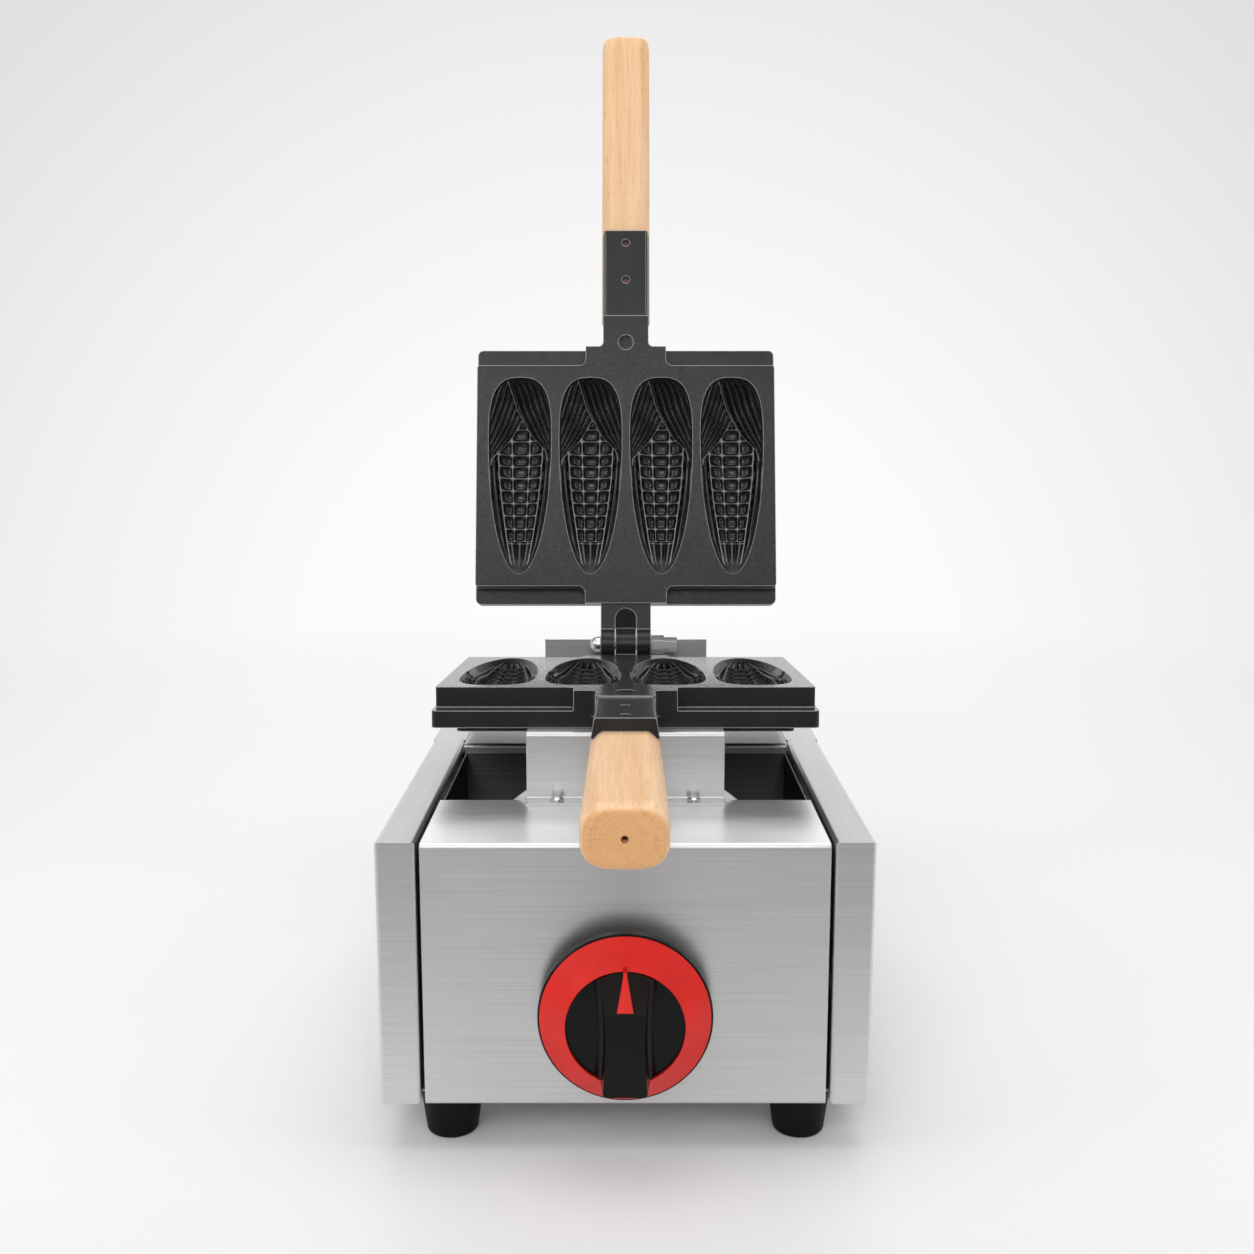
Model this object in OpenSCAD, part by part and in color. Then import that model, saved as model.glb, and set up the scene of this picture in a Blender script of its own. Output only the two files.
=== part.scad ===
// Gas iron for corn-shaped waffle sticks: a stainless burner housing on rubber feet that carries a
// hinged pair of cast moulds with wooden handles. The origin lies on the floor, midway between the
// tips of the two handles with the lid open. +X is right, +Y is to the back, +Z is up.

/* [Housing] */
// Width over both side channels
housing_w = 250; // [230:1:300]
// Depth from the front face to the back face
housing_d = 360; // [345:1:420]
// Height of the housing without its feet
housing_h = 139; // [125:1:180]
// Thickness of the stainless sheet
sheet = 1.2; // [0.8:0.1:1.6]
// Outer radius of the sheet bends
bend_r = 2.4; // [1.7:0.1:3]
// Width of each side channel
channel_w = 20.7; // [18:0.1:26]
// Height of the down-lip along the channels
channel_lip = 5; // [3:0.5:8]
// Gap between the front panel and each channel
panel_gap = 2; // [1:0.1:3]
// How far the front cover lies below the channels' top
cover_drop = 1; // [0:0.1:2]
// Depth of the front cover, which is where the burner opening starts
cover_d = 80; // [70:1:90]
// Length of the burner opening
bay_len = 122.5; // [100:0.5:130]
// Length of channel behind the opening, up to the rear caps
channel_tail = 11.5; // [6:0.5:20]
// Height of the lips at both ends of the burner opening
bay_lip = 8; // [5:0.5:12]
// Width of the hairline seams between the top plates
seam = 0.4; // [0.2:0.1:1]
// Inner radius of the tight fold along the front panel's lower edge
fold_r = 0.2; // [0.1:0.1:1]

/* [Feet] */
// Height of the rubber feet
foot_h = 25.1; // [12:0.1:35]
// Radius of a foot at its top
foot_top_r = 16.5; // [14:0.1:18]
// Radius of a foot at its bottom
foot_bottom_r = 13.6; // [9:0.1:14]
// Distance of the feet from the housing's sides
foot_side = 33.5; // [33:0.1:45]
// Distance of the feet from the front and back faces
foot_inset = 24; // [20:1:50]

/* [Moulds] */
// Width of the mould flanges
mould_w = 217.2; // [212:0.1:225]
// Width of the parting faces
face_w = 215.8; // [211:0.1:223]
// Length of a mould from its handle edge to its hinge edge
mould_l = 187.8; // [184:0.1:191]
// Thickness from the parting plane to the flange's outer face
mould_h = 21.5; // [19:0.1:24]
// Depth of the ledges at both ends below the parting plane
ledge_h = 11.8; // [8:0.1:13]
// Length of the ledge at the handle end
ledge_front = 14.2; // [10:0.1:15]
// Length of the ledge at the hinge end
ledge_rear = 12.1; // [8:0.1:13]
// Width of the middle land that runs across both ledges
land_w = 58.4; // [50:0.1:64]
// Radius of the fillets between that land and the ledges
land_fillet_r = 4.9; // [2:0.1:8]
// Gap between the two parting faces when closed
parting_gap = 0.3; // [0.2:0.05:0.6]
// Height of the rim on the outer face of each mould
rim_h = 4.5; // [3:0.1:6]
// Wall of that rim and of the ribs inside it
rim_wall = 6; // [4:0.5:9]
// Distance of the rim from the flange's edge
rim_inset = 12; // [10:0.5:16]
// Radius of the moulds' outer corners
corner_r = 4; // [2:0.5:8]
// Downward slope of the lower mould towards the back, in degrees
mould_slope = 4.14; // [3:0.01:5]
// Distance of the mould's handle edge behind the front face
mould_y = 93.2; // [90:0.1:97]
// Height of the parting plane above the housing's top at that edge
mould_z = 58; // [56:0.1:62]

/* [Cavities] */
// Number of ears in each mould
ear_count = 4; // [2:1:4]
// Length of one ear of corn
ear_l = 144; // [120:0.5:146]
// Greatest width of one ear
ear_w = 45.6; // [36:0.1:47]
// Distance from ear to ear
ear_pitch = 51.1; // [49:0.1:52]
// Depth of a cavity
ear_depth = 15; // [8:0.1:16]
// Distance from the parting face's handle edge to the cavities
ear_margin = 9; // [8:0.1:9.5]
// Share of the ear's length from its husk end to its widest place
ear_belly = 0.318; // [0.25:0.001:0.45]

/* [Hinge] */
// Distance of the bolt's axis behind the mould's hinge edge
axis_back = 29.4; // [27:0.1:32]
// Height of the bolt's axis above the parting plane
axis_up = 4.5; // [3:0.1:6]
// Radius of the hinge bolt's shank
bolt_r = 4; // [3:0.1:4.5]
// Running clearance round the bolt's shank
bolt_fit = 0.05; // [0.02:0.01:0.1]
// Width over the two lugs of the upper mould
lugs_w = 35.8; // [32:0.1:40]
// Width of the tongue of the lower mould
tongue_w = 14.6; // [12:0.1:18]
// Side clearance between tongue and lugs
tongue_fit = 0.35; // [0.3:0.05:0.6]
// Outer radius of the lugs
lug_r = 11; // [9.5:0.1:11.4]
// Outer radius of the tongue's eye
eye_r = 9.5; // [8:0.1:10]
// Backward lean of the opened upper mould, in degrees
open_lean = 5.5; // [0:0.5:9]

/* [Necks and handles] */
// Width of the necks that join moulds to tangs
neck_w = 33; // [30:0.1:36]
// Length of the handle-side neck
neck_l = 23; // [16:0.5:30]
// Thickness of the necks
neck_h = 15; // [12:0.1:18]
// Radius of the fillets between the handle-side neck and the flange
neck_fillet_r = 3.3; // [1:0.1:8]
// Length of the tang that lies over the wood
tang_l = 64.6; // [55:0.1:80]
// Width of the tang at its top face
tang_top_w = 31.4; // [28:0.1:34]
// Width of the tang at the lower end of its skirts
tang_skirt_w = 34.2; // [31:0.1:35]
// Height of the skirts over the wood's shoulders
skirt_h = 3.8; // [2:0.1:6]
// Depth of the wood below the tang's top face
tang_h = 7.1; // [6:0.1:9]
// Radius of the tang's corners at its tip
tang_tip_r = 1.5; // [0.5:0.1:4]
// Outward splay of each handle, in degrees
splay = 1.26; // [0:0.01:2]
// Radius of the two holes through tang and wood
tang_hole_r = 2.7; // [2:0.1:3.2]
// Distance of the first hole from the tang's tip
tang_hole_tip = 9.3; // [8:0.1:14]
// Distance between the two holes
tang_hole_pitch = 28; // [22:0.5:34]
// Length of the wooden handles
wood_l = 219.5; // [150:0.5:240]
// Width of the wooden handles
wood_w = 35.2; // [35:0.1:38]
// Thickness of the wooden handles
wood_h = 25.5; // [22:0.1:30]
// Width of the flats along the top and bottom of the wood
wood_flat = 22; // [16:0.1:26]
// Height of the flats along the wood's sides
wood_side = 9.3; // [5:0.1:14]
// Radius of the shoulders between those flats
wood_shoulder_r = 12; // [10:0.5:20]
// Radius of the corners at the handle's tip, seen from above
tip_plan_r = 8.5; // [4:0.5:12]
// Radius of the tip's upper and lower edges, seen from the side
tip_side_r = 2.5; // [1:0.5:5]
// Radius of the counterbores on the wood's outer face
wood_sink_r = 7; // [5:0.5:8]
// Depth of those counterbores
wood_sink_h = 12; // [5:0.5:14]
// Radius of the centre hole in the wood's end
wood_centre_r = 1; // [0.5:0.1:2]

/* [Brackets] */
// Width of the front bracket
front_bracket_w = 109; // [90:1:130]
// Distance of its web's back face behind the front face
front_bracket_y = 78.5; // [76:0.5:79]
// Length of its foot flange
bracket_foot = 11.3; // [10:0.1:16]
// Length of the flange that the lower mould rests on
rest_flange = 19; // [12:0.5:20]
// Distance of the bracket screws from the centre plane
bracket_screw_x = 37.5; // [30:0.5:45]
// Width of the rear bracket
rear_bracket_w = 117.5; // [90:0.5:130]
// Height of the rear bracket
rear_bracket_h = 47.8; // [42:0.1:52]
// Distance of the rear bracket behind the front face
rear_bracket_y = 326; // [324:0.5:328]
// Radius of the half-moon flame guard
guard_r = 94.5; // [85:0.5:110]
// Height of the flame guard above the channels' top
guard_h = 21.5; // [15:0.5:26]

/* [Knob] */
// Distance of the knob's axis below the housing's top
knob_drop = 86.2; // [70:0.1:90]
// Outer radius of the knob's black skirt
knob_r = 43.7; // [38:0.1:44]
// Inner radius of the red ring
dish_r = 29.4; // [26:0.1:31]
// Distance of the skirt's rim in front of the panel
rim_out = 13.5; // [12:0.1:16]
// Distance of the red ring's inner edge in front of the panel
dish_out = 25.2; // [23:0.1:27]
// Distance of the grip's face in front of the panel
grip_out = 38.2; // [33:0.1:42]
// Gap behind the skirt, which the push travel uses
knob_gap = 8.5; // [3.5:0.1:9]
// Width of the grip's face at its waist
grip_waist = 18.8; // [16:0.1:20]
// Width of the grip's face at its lower end
grip_end_w = 21.6; // [21:0.1:26]
// Distance of the grip's lower end from the knob's axis
grip_end = 29; // [26:0.1:31]
// Radius of the corners of that end
grip_corner_r = 2.2; // [1:0.1:4]
// Distance of the grip's waist below the knob's axis
grip_waist_low = 2.6; // [0:0.1:8]
// Lean of the grip's walls, in degrees
grip_lean = 6; // [2:1:10]
// Width and height of the splayed foot of those walls
grip_foot = 3; // [1:0.1:4]
// Distance from the knob's axis up to the start of the grip's slope
slope_start = 12.9; // [7:0.1:15]
// Length of the pointer's triangle
pointer_l = 17.4; // [10:0.1:19]
// Width of the triangle at its base
pointer_w = 8; // [5:0.1:10]
// Width of the line that runs on from the triangle
line_w = 1.9; // [1:0.1:3]
// Thickness of the red ring
ring_t = 2; // [1.5:0.1:2.5]
// Radius of the knob's stem
stem_r = 4; // [3:0.1:5]

/* [Burner] */
// Radius of the burner tubes
tube_r = 11; // [9:0.5:13]
// Wall of the burner tubes
tube_wall = 1; // [0.8:0.1:1.5]
// Distance of the burner tubes from the centre plane
tube_x = 45; // [40:1:55]
// Depth of the tubes' axes below the housing's top
tube_drop = 52; // [45:1:60]
// Number of flame slots in each tube
slot_count = 14; // [6:1:18]
// Radius of the gas pipes
pipe_r = 5; // [4:0.5:6]
// Radius of the gas spigot's plain end
spigot_r = 4.75; // [4:0.05:6]
// Length of the gas spigot behind the housing
spigot_l = 26; // [20:1:40]

/* [Hidden] */
$fn = 48;

STEEL = [0.72, 0.72, 0.71];
DARK_STEEL = [0.3, 0.3, 0.3];
IRON = [0.2, 0.2, 0.2];
WOOD = [0.89, 0.7, 0.5];
BLACK = [0.08, 0.08, 0.08];
RED = [0.82, 0.14, 0.11];
BRASS = [0.75, 0.6, 0.3];

eps = 0.01;
cut = 1;

// Places in the housing's own frame: Y from the front face, Z from the channels' top
half_w = housing_w / 2;
foot_x = half_w - foot_side;
channel_in = half_w - channel_w;
panel_half = channel_in - panel_gap;
cover_half = channel_in - seam;
bay_back = cover_d + bay_len;
cap_y = bay_back + channel_tail;
floor_z = -housing_h + sheet;
box_half = channel_in - 1.3;
box_top = -channel_lip - 1;
wall = 1;
panel_flange = 10;
foot_pad_r = 11.5;
foot_web = 8;
screw_r = 2;
foot_screw_r = 2.5;

// Places in the lower mould's frame: Y from the handle edge, Z from the parting plane
axis_y = mould_l + axis_back;
axis_z = axis_up;
open_angle = 90 + open_lean + mould_slope;
face_z = -parting_gap / 2;
neck_drop = 3;
tang_drop = 1;
wood_start = 1;
wood_mid = tang_h + wood_h / 2;
wood_end = wood_start + wood_l;
neck_end_y = axis_y - lug_r - 1.2;

// Revolving an ear about an axis above the parting plane gives it its width and depth together
ear_axis_up = (pow(ear_w / 2, 2) - pow(ear_depth, 2)) / (2 * ear_depth);
ear_y = ledge_front + ear_margin;
ear_steps = 12;

// Rear support of the mould pair
tail_w = tongue_w;
tail_top = -2;
tail_h = 10;
tail_over = 28;
tail_tip = axis_y + tail_over;
notch_side = 0.4;
rest_gap = 0.2;
rear_foot = 19;
front_screw_y = front_bracket_y - bracket_foot / 2 - 0.5;
rear_screw_y = rear_bracket_y + rear_foot / 2 + 1;

// Height above the housing's top, at distance y, of a plane that lies t above the parting plane
function slope_z(t, y) = mould_z - (y - mould_y) * tan(mould_slope) + t / cos(mould_slope);

// The heel stands this far below the upper mould's neck when the lid is open
stop_gap = 0.3;
heel_y = 6;
heel_l = 7;
tongue_half = tongue_w / 2;
lug_gap = 0.3;
nut_l = 9;
cap_l = 9.3;
pit_y = -3;
pit_r = 5.4;
pit_h = 4;

// Knob and valve
ring_slope = (dish_out - rim_out) / (knob_r - 1 - dish_r);
fit = 0.05;
push_travel = 3;
neck_r = 9;
neck_out = 6;
hub_back = neck_out + push_travel + 1.5;
floor_out = dish_out - ring_t - 0.2;
ring_outer_r = knob_r - 1;
grip_slope = atan((grip_out - dish_out) / (dish_r - slope_start));
stem_out = 20;
valve_r = 15;
valve_front = sheet;
valve_back = 50;
igniter_y = 42;
igniter_h = 2;
lead_r = 1.5;
lead_x = 25;
lead_z = -40;
valve_bore_r = stem_r + 0.05;
stem_back = 8;
plunger_r = 3;
plunger_len = 20;
inlet_x = half_w - channel_w / 2 - 1;
pipe_bend_r = 14;
inlet_y = 30;
inlet_len = 30;
inlet_nut = 12;
manifold_y = 22;
manifold_r = 6;
jet_len = 12;
tube_front = 48;
tube_back = cover_d + bay_len - 10;

// The floor lies under the feet, and the origin is midway between the tips of the two handles
top_z = foot_h + housing_h;
wood_low = tang_h + wood_h;
tip_along = -neck_l - wood_end * cos(splay) + wood_low * sin(splay);
tip_up = -tang_drop - wood_end * sin(splay) - wood_low * cos(splay);
handle_tip_y = mould_y + tip_along * cos(mould_slope) + tip_up * sin(mould_slope);
lid_angle = open_angle + mould_slope;
back_tip_y = mould_y + axis_y * cos(mould_slope) + axis_z * sin(mould_slope)
    + (tip_along - axis_y) * cos(lid_angle) - (tip_up + axis_z) * sin(lid_angle);
front_y = -(handle_tip_y + back_tip_y) / 2;

// ---------- frames ----------

module in_housing() {
    translate([0, front_y, top_z]) children();
}

module in_mould() {
    in_housing() translate([0, mould_y, mould_z]) rotate([-mould_slope, 0, 0]) children();
}

// The upper mould is the lower one mirrored in the parting plane, then swung open about the bolt
module in_lid() {
    in_mould() translate([0, axis_y, axis_z]) rotate([-open_angle, 0, 0])
        translate([0, -axis_y, -axis_z]) children();
}

// Turns a profile drawn as (Y, Z) into a bar along X, from 0 to len
module bar_from_x(len) {
    rotate([90, 0, 90]) linear_extrude(len) children();
}

// The same bar, from -half to +half
module bar_x(half) {
    translate([-half, 0, 0]) bar_from_x(2 * half) children();
}

// Turns a profile drawn as (X, Z) into a bar along Y, from y0 to y1
module bar_y(y0, y1) {
    translate([0, y1, 0]) rotate([90, 0, 0]) linear_extrude(y1 - y0) children();
}

module rod_y(r, y0, y1) {
    translate([0, y0, 0]) rotate([-90, 0, 0]) cylinder(r = r, h = y1 - y0);
}

module cone_y(r0, r1, y0, y1) {
    translate([0, y0, 0]) rotate([-90, 0, 0]) cylinder(r1 = r0, r2 = r1, h = y1 - y0);
}

module rod_x(r, x0, x1) {
    translate([x0, 0, 0]) rotate([0, 90, 0]) cylinder(r = r, h = x1 - x0);
}

module hex_x(r, x0, x1) {
    translate([x0, 0, 0]) rotate([0, 90, 0]) cylinder(r = r, h = x1 - x0, $fn = 6);
}

module hex_y(r, y0, y1) {
    translate([0, y0, 0]) rotate([-90, 0, 0]) cylinder(r = r, h = y1 - y0, $fn = 6);
}

// Rectangle from corner p to corner q with round corners
module round_rect(p, q, r) {
    translate([p[0] + r, p[1]]) square([q[0] - p[0] - 2 * r, q[1] - p[1]]);
    translate([p[0], p[1] + r]) square([q[0] - p[0], q[1] - p[1] - 2 * r]);
    for (x = [p[0] + r, q[0] - r], y = [p[1] + r, q[1] - r]) {
        translate([x, y]) circle(r);
    }
}

// Fillet in a corner at the origin, whose empty side faces +X and +Y
module inner_round(r) {
    difference() {
        translate([-eps, -eps]) square(r + eps);
        translate([r, r]) circle(r);
    }
}

// Draws its child on the right, and once more mirrored on the left
module both_sides() {
    children();
    mirror([1, 0, 0]) children();
}

// ---------- housing ----------

// Section of a channel: outer wall, top and bottom flanges and a lip at the top flange's edge
module channel_section() {
    difference() {
        round_rect([channel_in, -housing_h], [half_w, 0], bend_r);
        round_rect([channel_in + sheet, floor_z], [half_w - sheet, -sheet], bend_r - sheet);
        translate([channel_in - cut, floor_z]) square([bend_r + 2 * cut, -floor_z - channel_lip]);
    }
}

// Drawn for the right side: channel, front plate with a return flange, and wall beside the rear cap
module side_channel() {
    back = housing_d - sheet;
    tail = cap_y - seam;
    color(STEEL) in_housing() intersection() {
        union() {
            difference() {
                bar_y(0, back) channel_section();
                translate([channel_in - cut, tail, -channel_lip - cut]) {
                    cube([channel_w + 2 * cut, back, channel_lip + 2 * cut]);
                }
            }
            translate([half_w - sheet, tail - cut, -3 * bend_r]) {
                cube([sheet, back - tail + cut, 2 * bend_r]);
            }
            translate([channel_in, 0, -housing_h]) cube([channel_w, sheet, housing_h]);
            translate([channel_in, 0, -housing_h]) cube([sheet, panel_flange, housing_h]);
        }
        translate([0, 0, -housing_h]) linear_extrude(housing_h) {
            round_rect([channel_in, 0], [half_w, back + bend_r], bend_r);
        }
        bar_y(0, back) round_rect([channel_in, -housing_h], [half_w, 0], bend_r);
    }
}

// Side view of the front panel and its cover, drawn in by inset: soft bends above, a tight fold below
module panel_outline(inset) {
    low = [inset, inset - housing_h];
    round_rect(low, [cover_d - inset, -cover_drop - inset], bend_r - inset);
    round_rect(low, [cover_d / 2, -housing_h / 2], fold_r + sheet - inset);
}

// Bottom flange, face, bend, cover and the lip at the opening
module panel_section() {
    bottom = -housing_h;
    difference() {
        panel_outline(0);
        panel_outline(sheet);
        translate([panel_flange, bottom - cut]) square([cover_d, sheet + bend_r + cut]);
        translate([cover_d - bend_r - cut, bottom]) {
            square([bend_r + 2 * cut, housing_h - cover_drop - bay_lip]);
        }
    }
}

module front_panel() {
    color(STEEL) in_housing() difference() {
        union() {
            bar_x(panel_half) panel_section();
            both_sides() translate([panel_half - sheet, sheet / 2, -housing_h + sheet / 2]) {
                cube([sheet, panel_flange, housing_h - cover_drop - sheet]);
            }
        }
        translate([0, 0, -knob_drop]) rod_y(neck_r + fit, -cut, sheet + cut);
    }
}

module rear_cover() {
    inside = housing_d - sheet;
    color(STEEL) in_housing() bar_x(cover_half) difference() {
        round_rect([bay_back, -2 * bay_lip], [inside + bay_lip, 0], bend_r);
        round_rect([bay_back + sheet, -3 * bay_lip], [inside + bay_lip, -sheet], bend_r - sheet);
        translate([inside, -2 * bay_lip]) square([2 * bay_lip, 3 * bay_lip]);
        translate([bay_back - cut, -2 * bay_lip - cut]) square([housing_d, bay_lip + cut]);
    }
}

// One bent strip closes the top and back of a channel behind the seam
module rear_cap() {
    color(STEEL) in_housing() difference() {
        translate([channel_in, 0, 0]) bar_from_x(channel_w) difference() {
            round_rect([cap_y - 2 * bend_r, -housing_h - 2 * bend_r], [housing_d, 0], bend_r);
            round_rect([cap_y - 3 * bend_r, -housing_h - 3 * bend_r],
                [housing_d - sheet, -sheet], bend_r - sheet);
            translate([cap_y - 3 * bend_r, -housing_h - 3 * bend_r]) {
                square([3 * bend_r, housing_h + 4 * bend_r]);
            }
            translate([cap_y - cut, -housing_h - 3 * bend_r]) square([housing_d, 3 * bend_r]);
        }
        children();
    }
}

module left_side_channel() {
    mirror([1, 0, 0]) side_channel();
}

module right_side_channel() {
    side_channel();
}

module left_rear_cap() {
    mirror([1, 0, 0]) rear_cap();
}

// The gas inlet passes through the right cap
module right_rear_cap() {
    rear_cap() translate([inlet_x, 0, -knob_drop]) {
        rod_y(pipe_r + fit, housing_d - 2 * sheet, housing_d + cut);
    }
}

module back_panel() {
    slot_l = 62;
    slot_h = 4;
    rows = 7;
    row_pitch = 11;
    first_row = -38;
    color(STEEL) in_housing() difference() {
        union() {
            translate([-cover_half, housing_d - sheet, floor_z]) {
                cube([2 * cover_half, sheet, -floor_z]);
            }
            translate([-cover_half, housing_d - 3 * panel_flange / 2, -2 * sheet]) {
                cube([2 * cover_half, 3 * panel_flange / 2, sheet]);
            }
        }
        for (side = [-1, 1], row = [0 : rows - 1]) {
            translate([side * cover_half / 2 - slot_l / 2, 0, first_row - row * row_pitch]) {
                bar_y(housing_d - sheet - cut, housing_d + cut) {
                    round_rect([0, 0], [slot_l, slot_h], slot_h / 2 - eps);
                }
            }
        }
        back_screw_places() rod_y(screw_r + fit, housing_d - 2 * sheet, housing_d + cut);
    }
}

module back_screw_places() {
    x = cover_half - 10;
    for (side = [-1, 1], z = [-2.5 * bay_lip, floor_z + bay_lip]) translate([side * x, 0, z]) children();
}

// Round heads on the back panel, threads through it
module back_panel_screws() {
    head_r = 3.5;
    head_h = 2.2;
    color(STEEL) in_housing() back_screw_places() {
        rod_y(head_r, housing_d, housing_d + head_h);
        rod_y(screw_r, housing_d - 3 * sheet, housing_d + head_h);
    }
}

module base_pan() {
    inset = bend_r - sheet + 0.1;
    half = half_w - sheet - inset;
    front = sheet + inset;
    vent_l = 140;
    vent_w = 8;
    vents = 5;
    color(STEEL) in_housing() difference() {
        translate([-half, front, floor_z]) cube([2 * half, housing_d - sheet - front, sheet]);
        both_sides() translate([panel_half - sheet - inset, 0, floor_z - cut]) {
            cube([2 * sheet + panel_gap + 2 * inset, panel_flange + inset, sheet + 2 * cut]);
        }
        for (row = [0 : vents - 1]) {
            translate([-vent_l / 2, cover_d + 18 + row * 2.5 * vent_w, floor_z - cut]) {
                cube([vent_l, vent_w, sheet + 2 * cut]);
            }
        }
        foot_places(floor_z - cut) cylinder(r = foot_screw_r + fit, h = sheet + 2 * cut);
    }
}

// Open box of dark sheet round the flames, standing on the base pan
module fire_box() {
    z0 = floor_z + sheet;
    color(DARK_STEEL) in_housing() difference() {
        translate([-box_half, cover_d, z0]) cube([2 * box_half, bay_len, box_top - z0]);
        translate([-box_half + wall, cover_d + wall, z0 - cut]) {
            cube([2 * (box_half - wall), bay_len - 2 * wall, box_top - z0 + 2 * cut]);
        }
        at_tubes() rod_y(tube_r + fit, cover_d - cut, cover_d + wall + cut);
        translate([lead_x, 0, lead_z]) rod_y(lead_r + fit, cover_d - cut, cover_d + wall + cut);
    }
}

// ---------- feet ----------

module foot_places(z) {
    for (x = [-foot_x, foot_x], y = [foot_inset, housing_d - foot_inset]) {
        translate([x, y, z]) children();
    }
}

module foot(x, y) {
    rim = 2;
    color(BLACK) in_housing() translate([x, y, -housing_h]) rotate_extrude() difference() {
        union() {
            polygon([[0, sheet], [foot_pad_r, sheet], [foot_pad_r, 0], [foot_top_r, 0], [foot_top_r, -rim],
                [foot_bottom_r, rim - foot_h], [foot_bottom_r - rim, -foot_h], [0, -foot_h]]);
            translate([foot_bottom_r - rim, rim - foot_h]) circle(rim);
        }
        translate([0, -foot_h - cut]) square([foot_screw_r + 1.5, foot_h - foot_web + cut]);
        translate([0, -foot_web - cut]) square([foot_screw_r + fit, foot_web + sheet + 2 * cut]);
    }
}

module front_left_foot() {
    foot(-foot_x, foot_inset);
}

module front_right_foot() {
    foot(foot_x, foot_inset);
}

module rear_left_foot() {
    foot(-foot_x, housing_d - foot_inset);
}

module rear_right_foot() {
    foot(foot_x, housing_d - foot_inset);
}

// Each screw has its head inside the foot and its nut on the base pan
module foot_screws() {
    nut_r = 4;
    nut_h = 3;
    head_h = 2;
    color(STEEL) in_housing() foot_places(-housing_h) {
        translate([0, 0, -foot_web]) cylinder(r = foot_screw_r, h = foot_web + 2 * sheet + nut_h);
        translate([0, 0, -foot_web - head_h]) cylinder(r = foot_screw_r + 1.2, h = head_h);
        translate([0, 0, 2 * sheet]) cylinder(r = nut_r, h = nut_h, $fn = 6);
    }
}

// ---------- brackets ----------

// Sector of a sheet bend round the origin, between two angles
module bend(from, to) {
    steps = 4;
    intersection() {
        difference() {
            circle(bend_r);
            circle(bend_r - sheet);
        }
        polygon(concat([[0, 0]], [for (k = [0 : steps]) let (a = from + (to - from) * k / steps)
            2 * bend_r * [cos(a), sin(a)]]));
    }
}

// Foot flange to the front, upright web, and a flange to the back that follows the mould's slope
module front_bracket() {
    web_y = front_bracket_y - sheet;
    bend_y = web_y + bend_r;
    rest = slope_z(-mould_h, bend_y + bend_r * sin(mould_slope)) - rest_gap;
    bend_z = rest - bend_r * cos(mould_slope);
    foot_back = front_bracket_y - bend_r;
    foot_bend_z = bend_r - cover_drop;
    color(STEEL) in_housing() difference() {
        bar_x(front_bracket_w / 2) {
            translate([front_bracket_y - bracket_foot, -cover_drop]) {
                square([bracket_foot - bend_r, sheet]);
            }
            translate([foot_back, foot_bend_z]) bend(-90, 0);
            translate([web_y, foot_bend_z]) square([sheet, bend_z - foot_bend_z]);
            translate([bend_y, bend_z]) {
                bend(90 - mould_slope, 180);
                rotate(-mould_slope) translate([0, bend_r - sheet]) square([rest_flange, sheet]);
            }
        }
        screw_holes(front_screw_y, -cover_drop - cut);
    }
}

module screw_holes(y, z) {
    both_sides() translate([bracket_screw_x, y, z]) cylinder(r = screw_r + fit, h = 2 * sheet + cut);
}

// Pan-head screws that stand on a plate at height z
module bracket_screws(y, z) {
    head_r = 3.6;
    head_h = 2.4;
    round_h = 0.9;
    both_sides() translate([bracket_screw_x, y, z]) {
        translate([0, 0, -sheet]) cylinder(r = screw_r, h = 2 * sheet);
        cylinder(r = head_r, h = head_h - round_h);
        translate([0, 0, head_h - round_h]) cylinder(r1 = head_r, r2 = head_r - 1.4, h = round_h);
    }
}

module front_bracket_screws() {
    color(STEEL) in_housing() bracket_screws(front_screw_y, sheet - cover_drop);
}

// Upright sheet with a notch for the lower mould's tail, and a foot flange to the back
module rear_bracket() {
    notch_w = tail_w + 2 * notch_side;
    notch_z = slope_z(tail_top - tail_h, rear_bracket_y + sheet) - rest_gap;
    color(STEEL) in_housing() difference() {
        bar_x(rear_bracket_w / 2) {
            translate([rear_bracket_y, bend_r]) square([sheet, rear_bracket_h - bend_r]);
            translate([rear_bracket_y + bend_r, bend_r]) bend(180, 270);
            translate([rear_bracket_y + bend_r, 0]) square([rear_foot - bend_r, sheet]);
        }
        translate([-notch_w / 2, rear_bracket_y - cut, notch_z]) {
            cube([notch_w, sheet + 2 * cut, rear_bracket_h]);
        }
        screw_holes(rear_screw_y, -cut);
    }
}

module rear_bracket_screws() {
    color(STEEL) in_housing() bracket_screws(rear_screw_y, sheet);
}

// Half-moon sheet that stands behind the front bracket and keeps the flames off the handle
module flame_guard() {
    centre_z = guard_h - guard_r;
    color(STEEL) in_housing() bar_y(cover_d, cover_d + sheet) intersection() {
        translate([0, centre_z]) circle(guard_r, $fn = 96);
        translate([-guard_r, box_top]) square([2 * guard_r, guard_h - box_top + cut]);
    }
}

// ---------- burner and gas ----------

module at_tubes() {
    for (x = [-tube_x, tube_x]) translate([x, 0, -tube_drop]) children();
}

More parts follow.
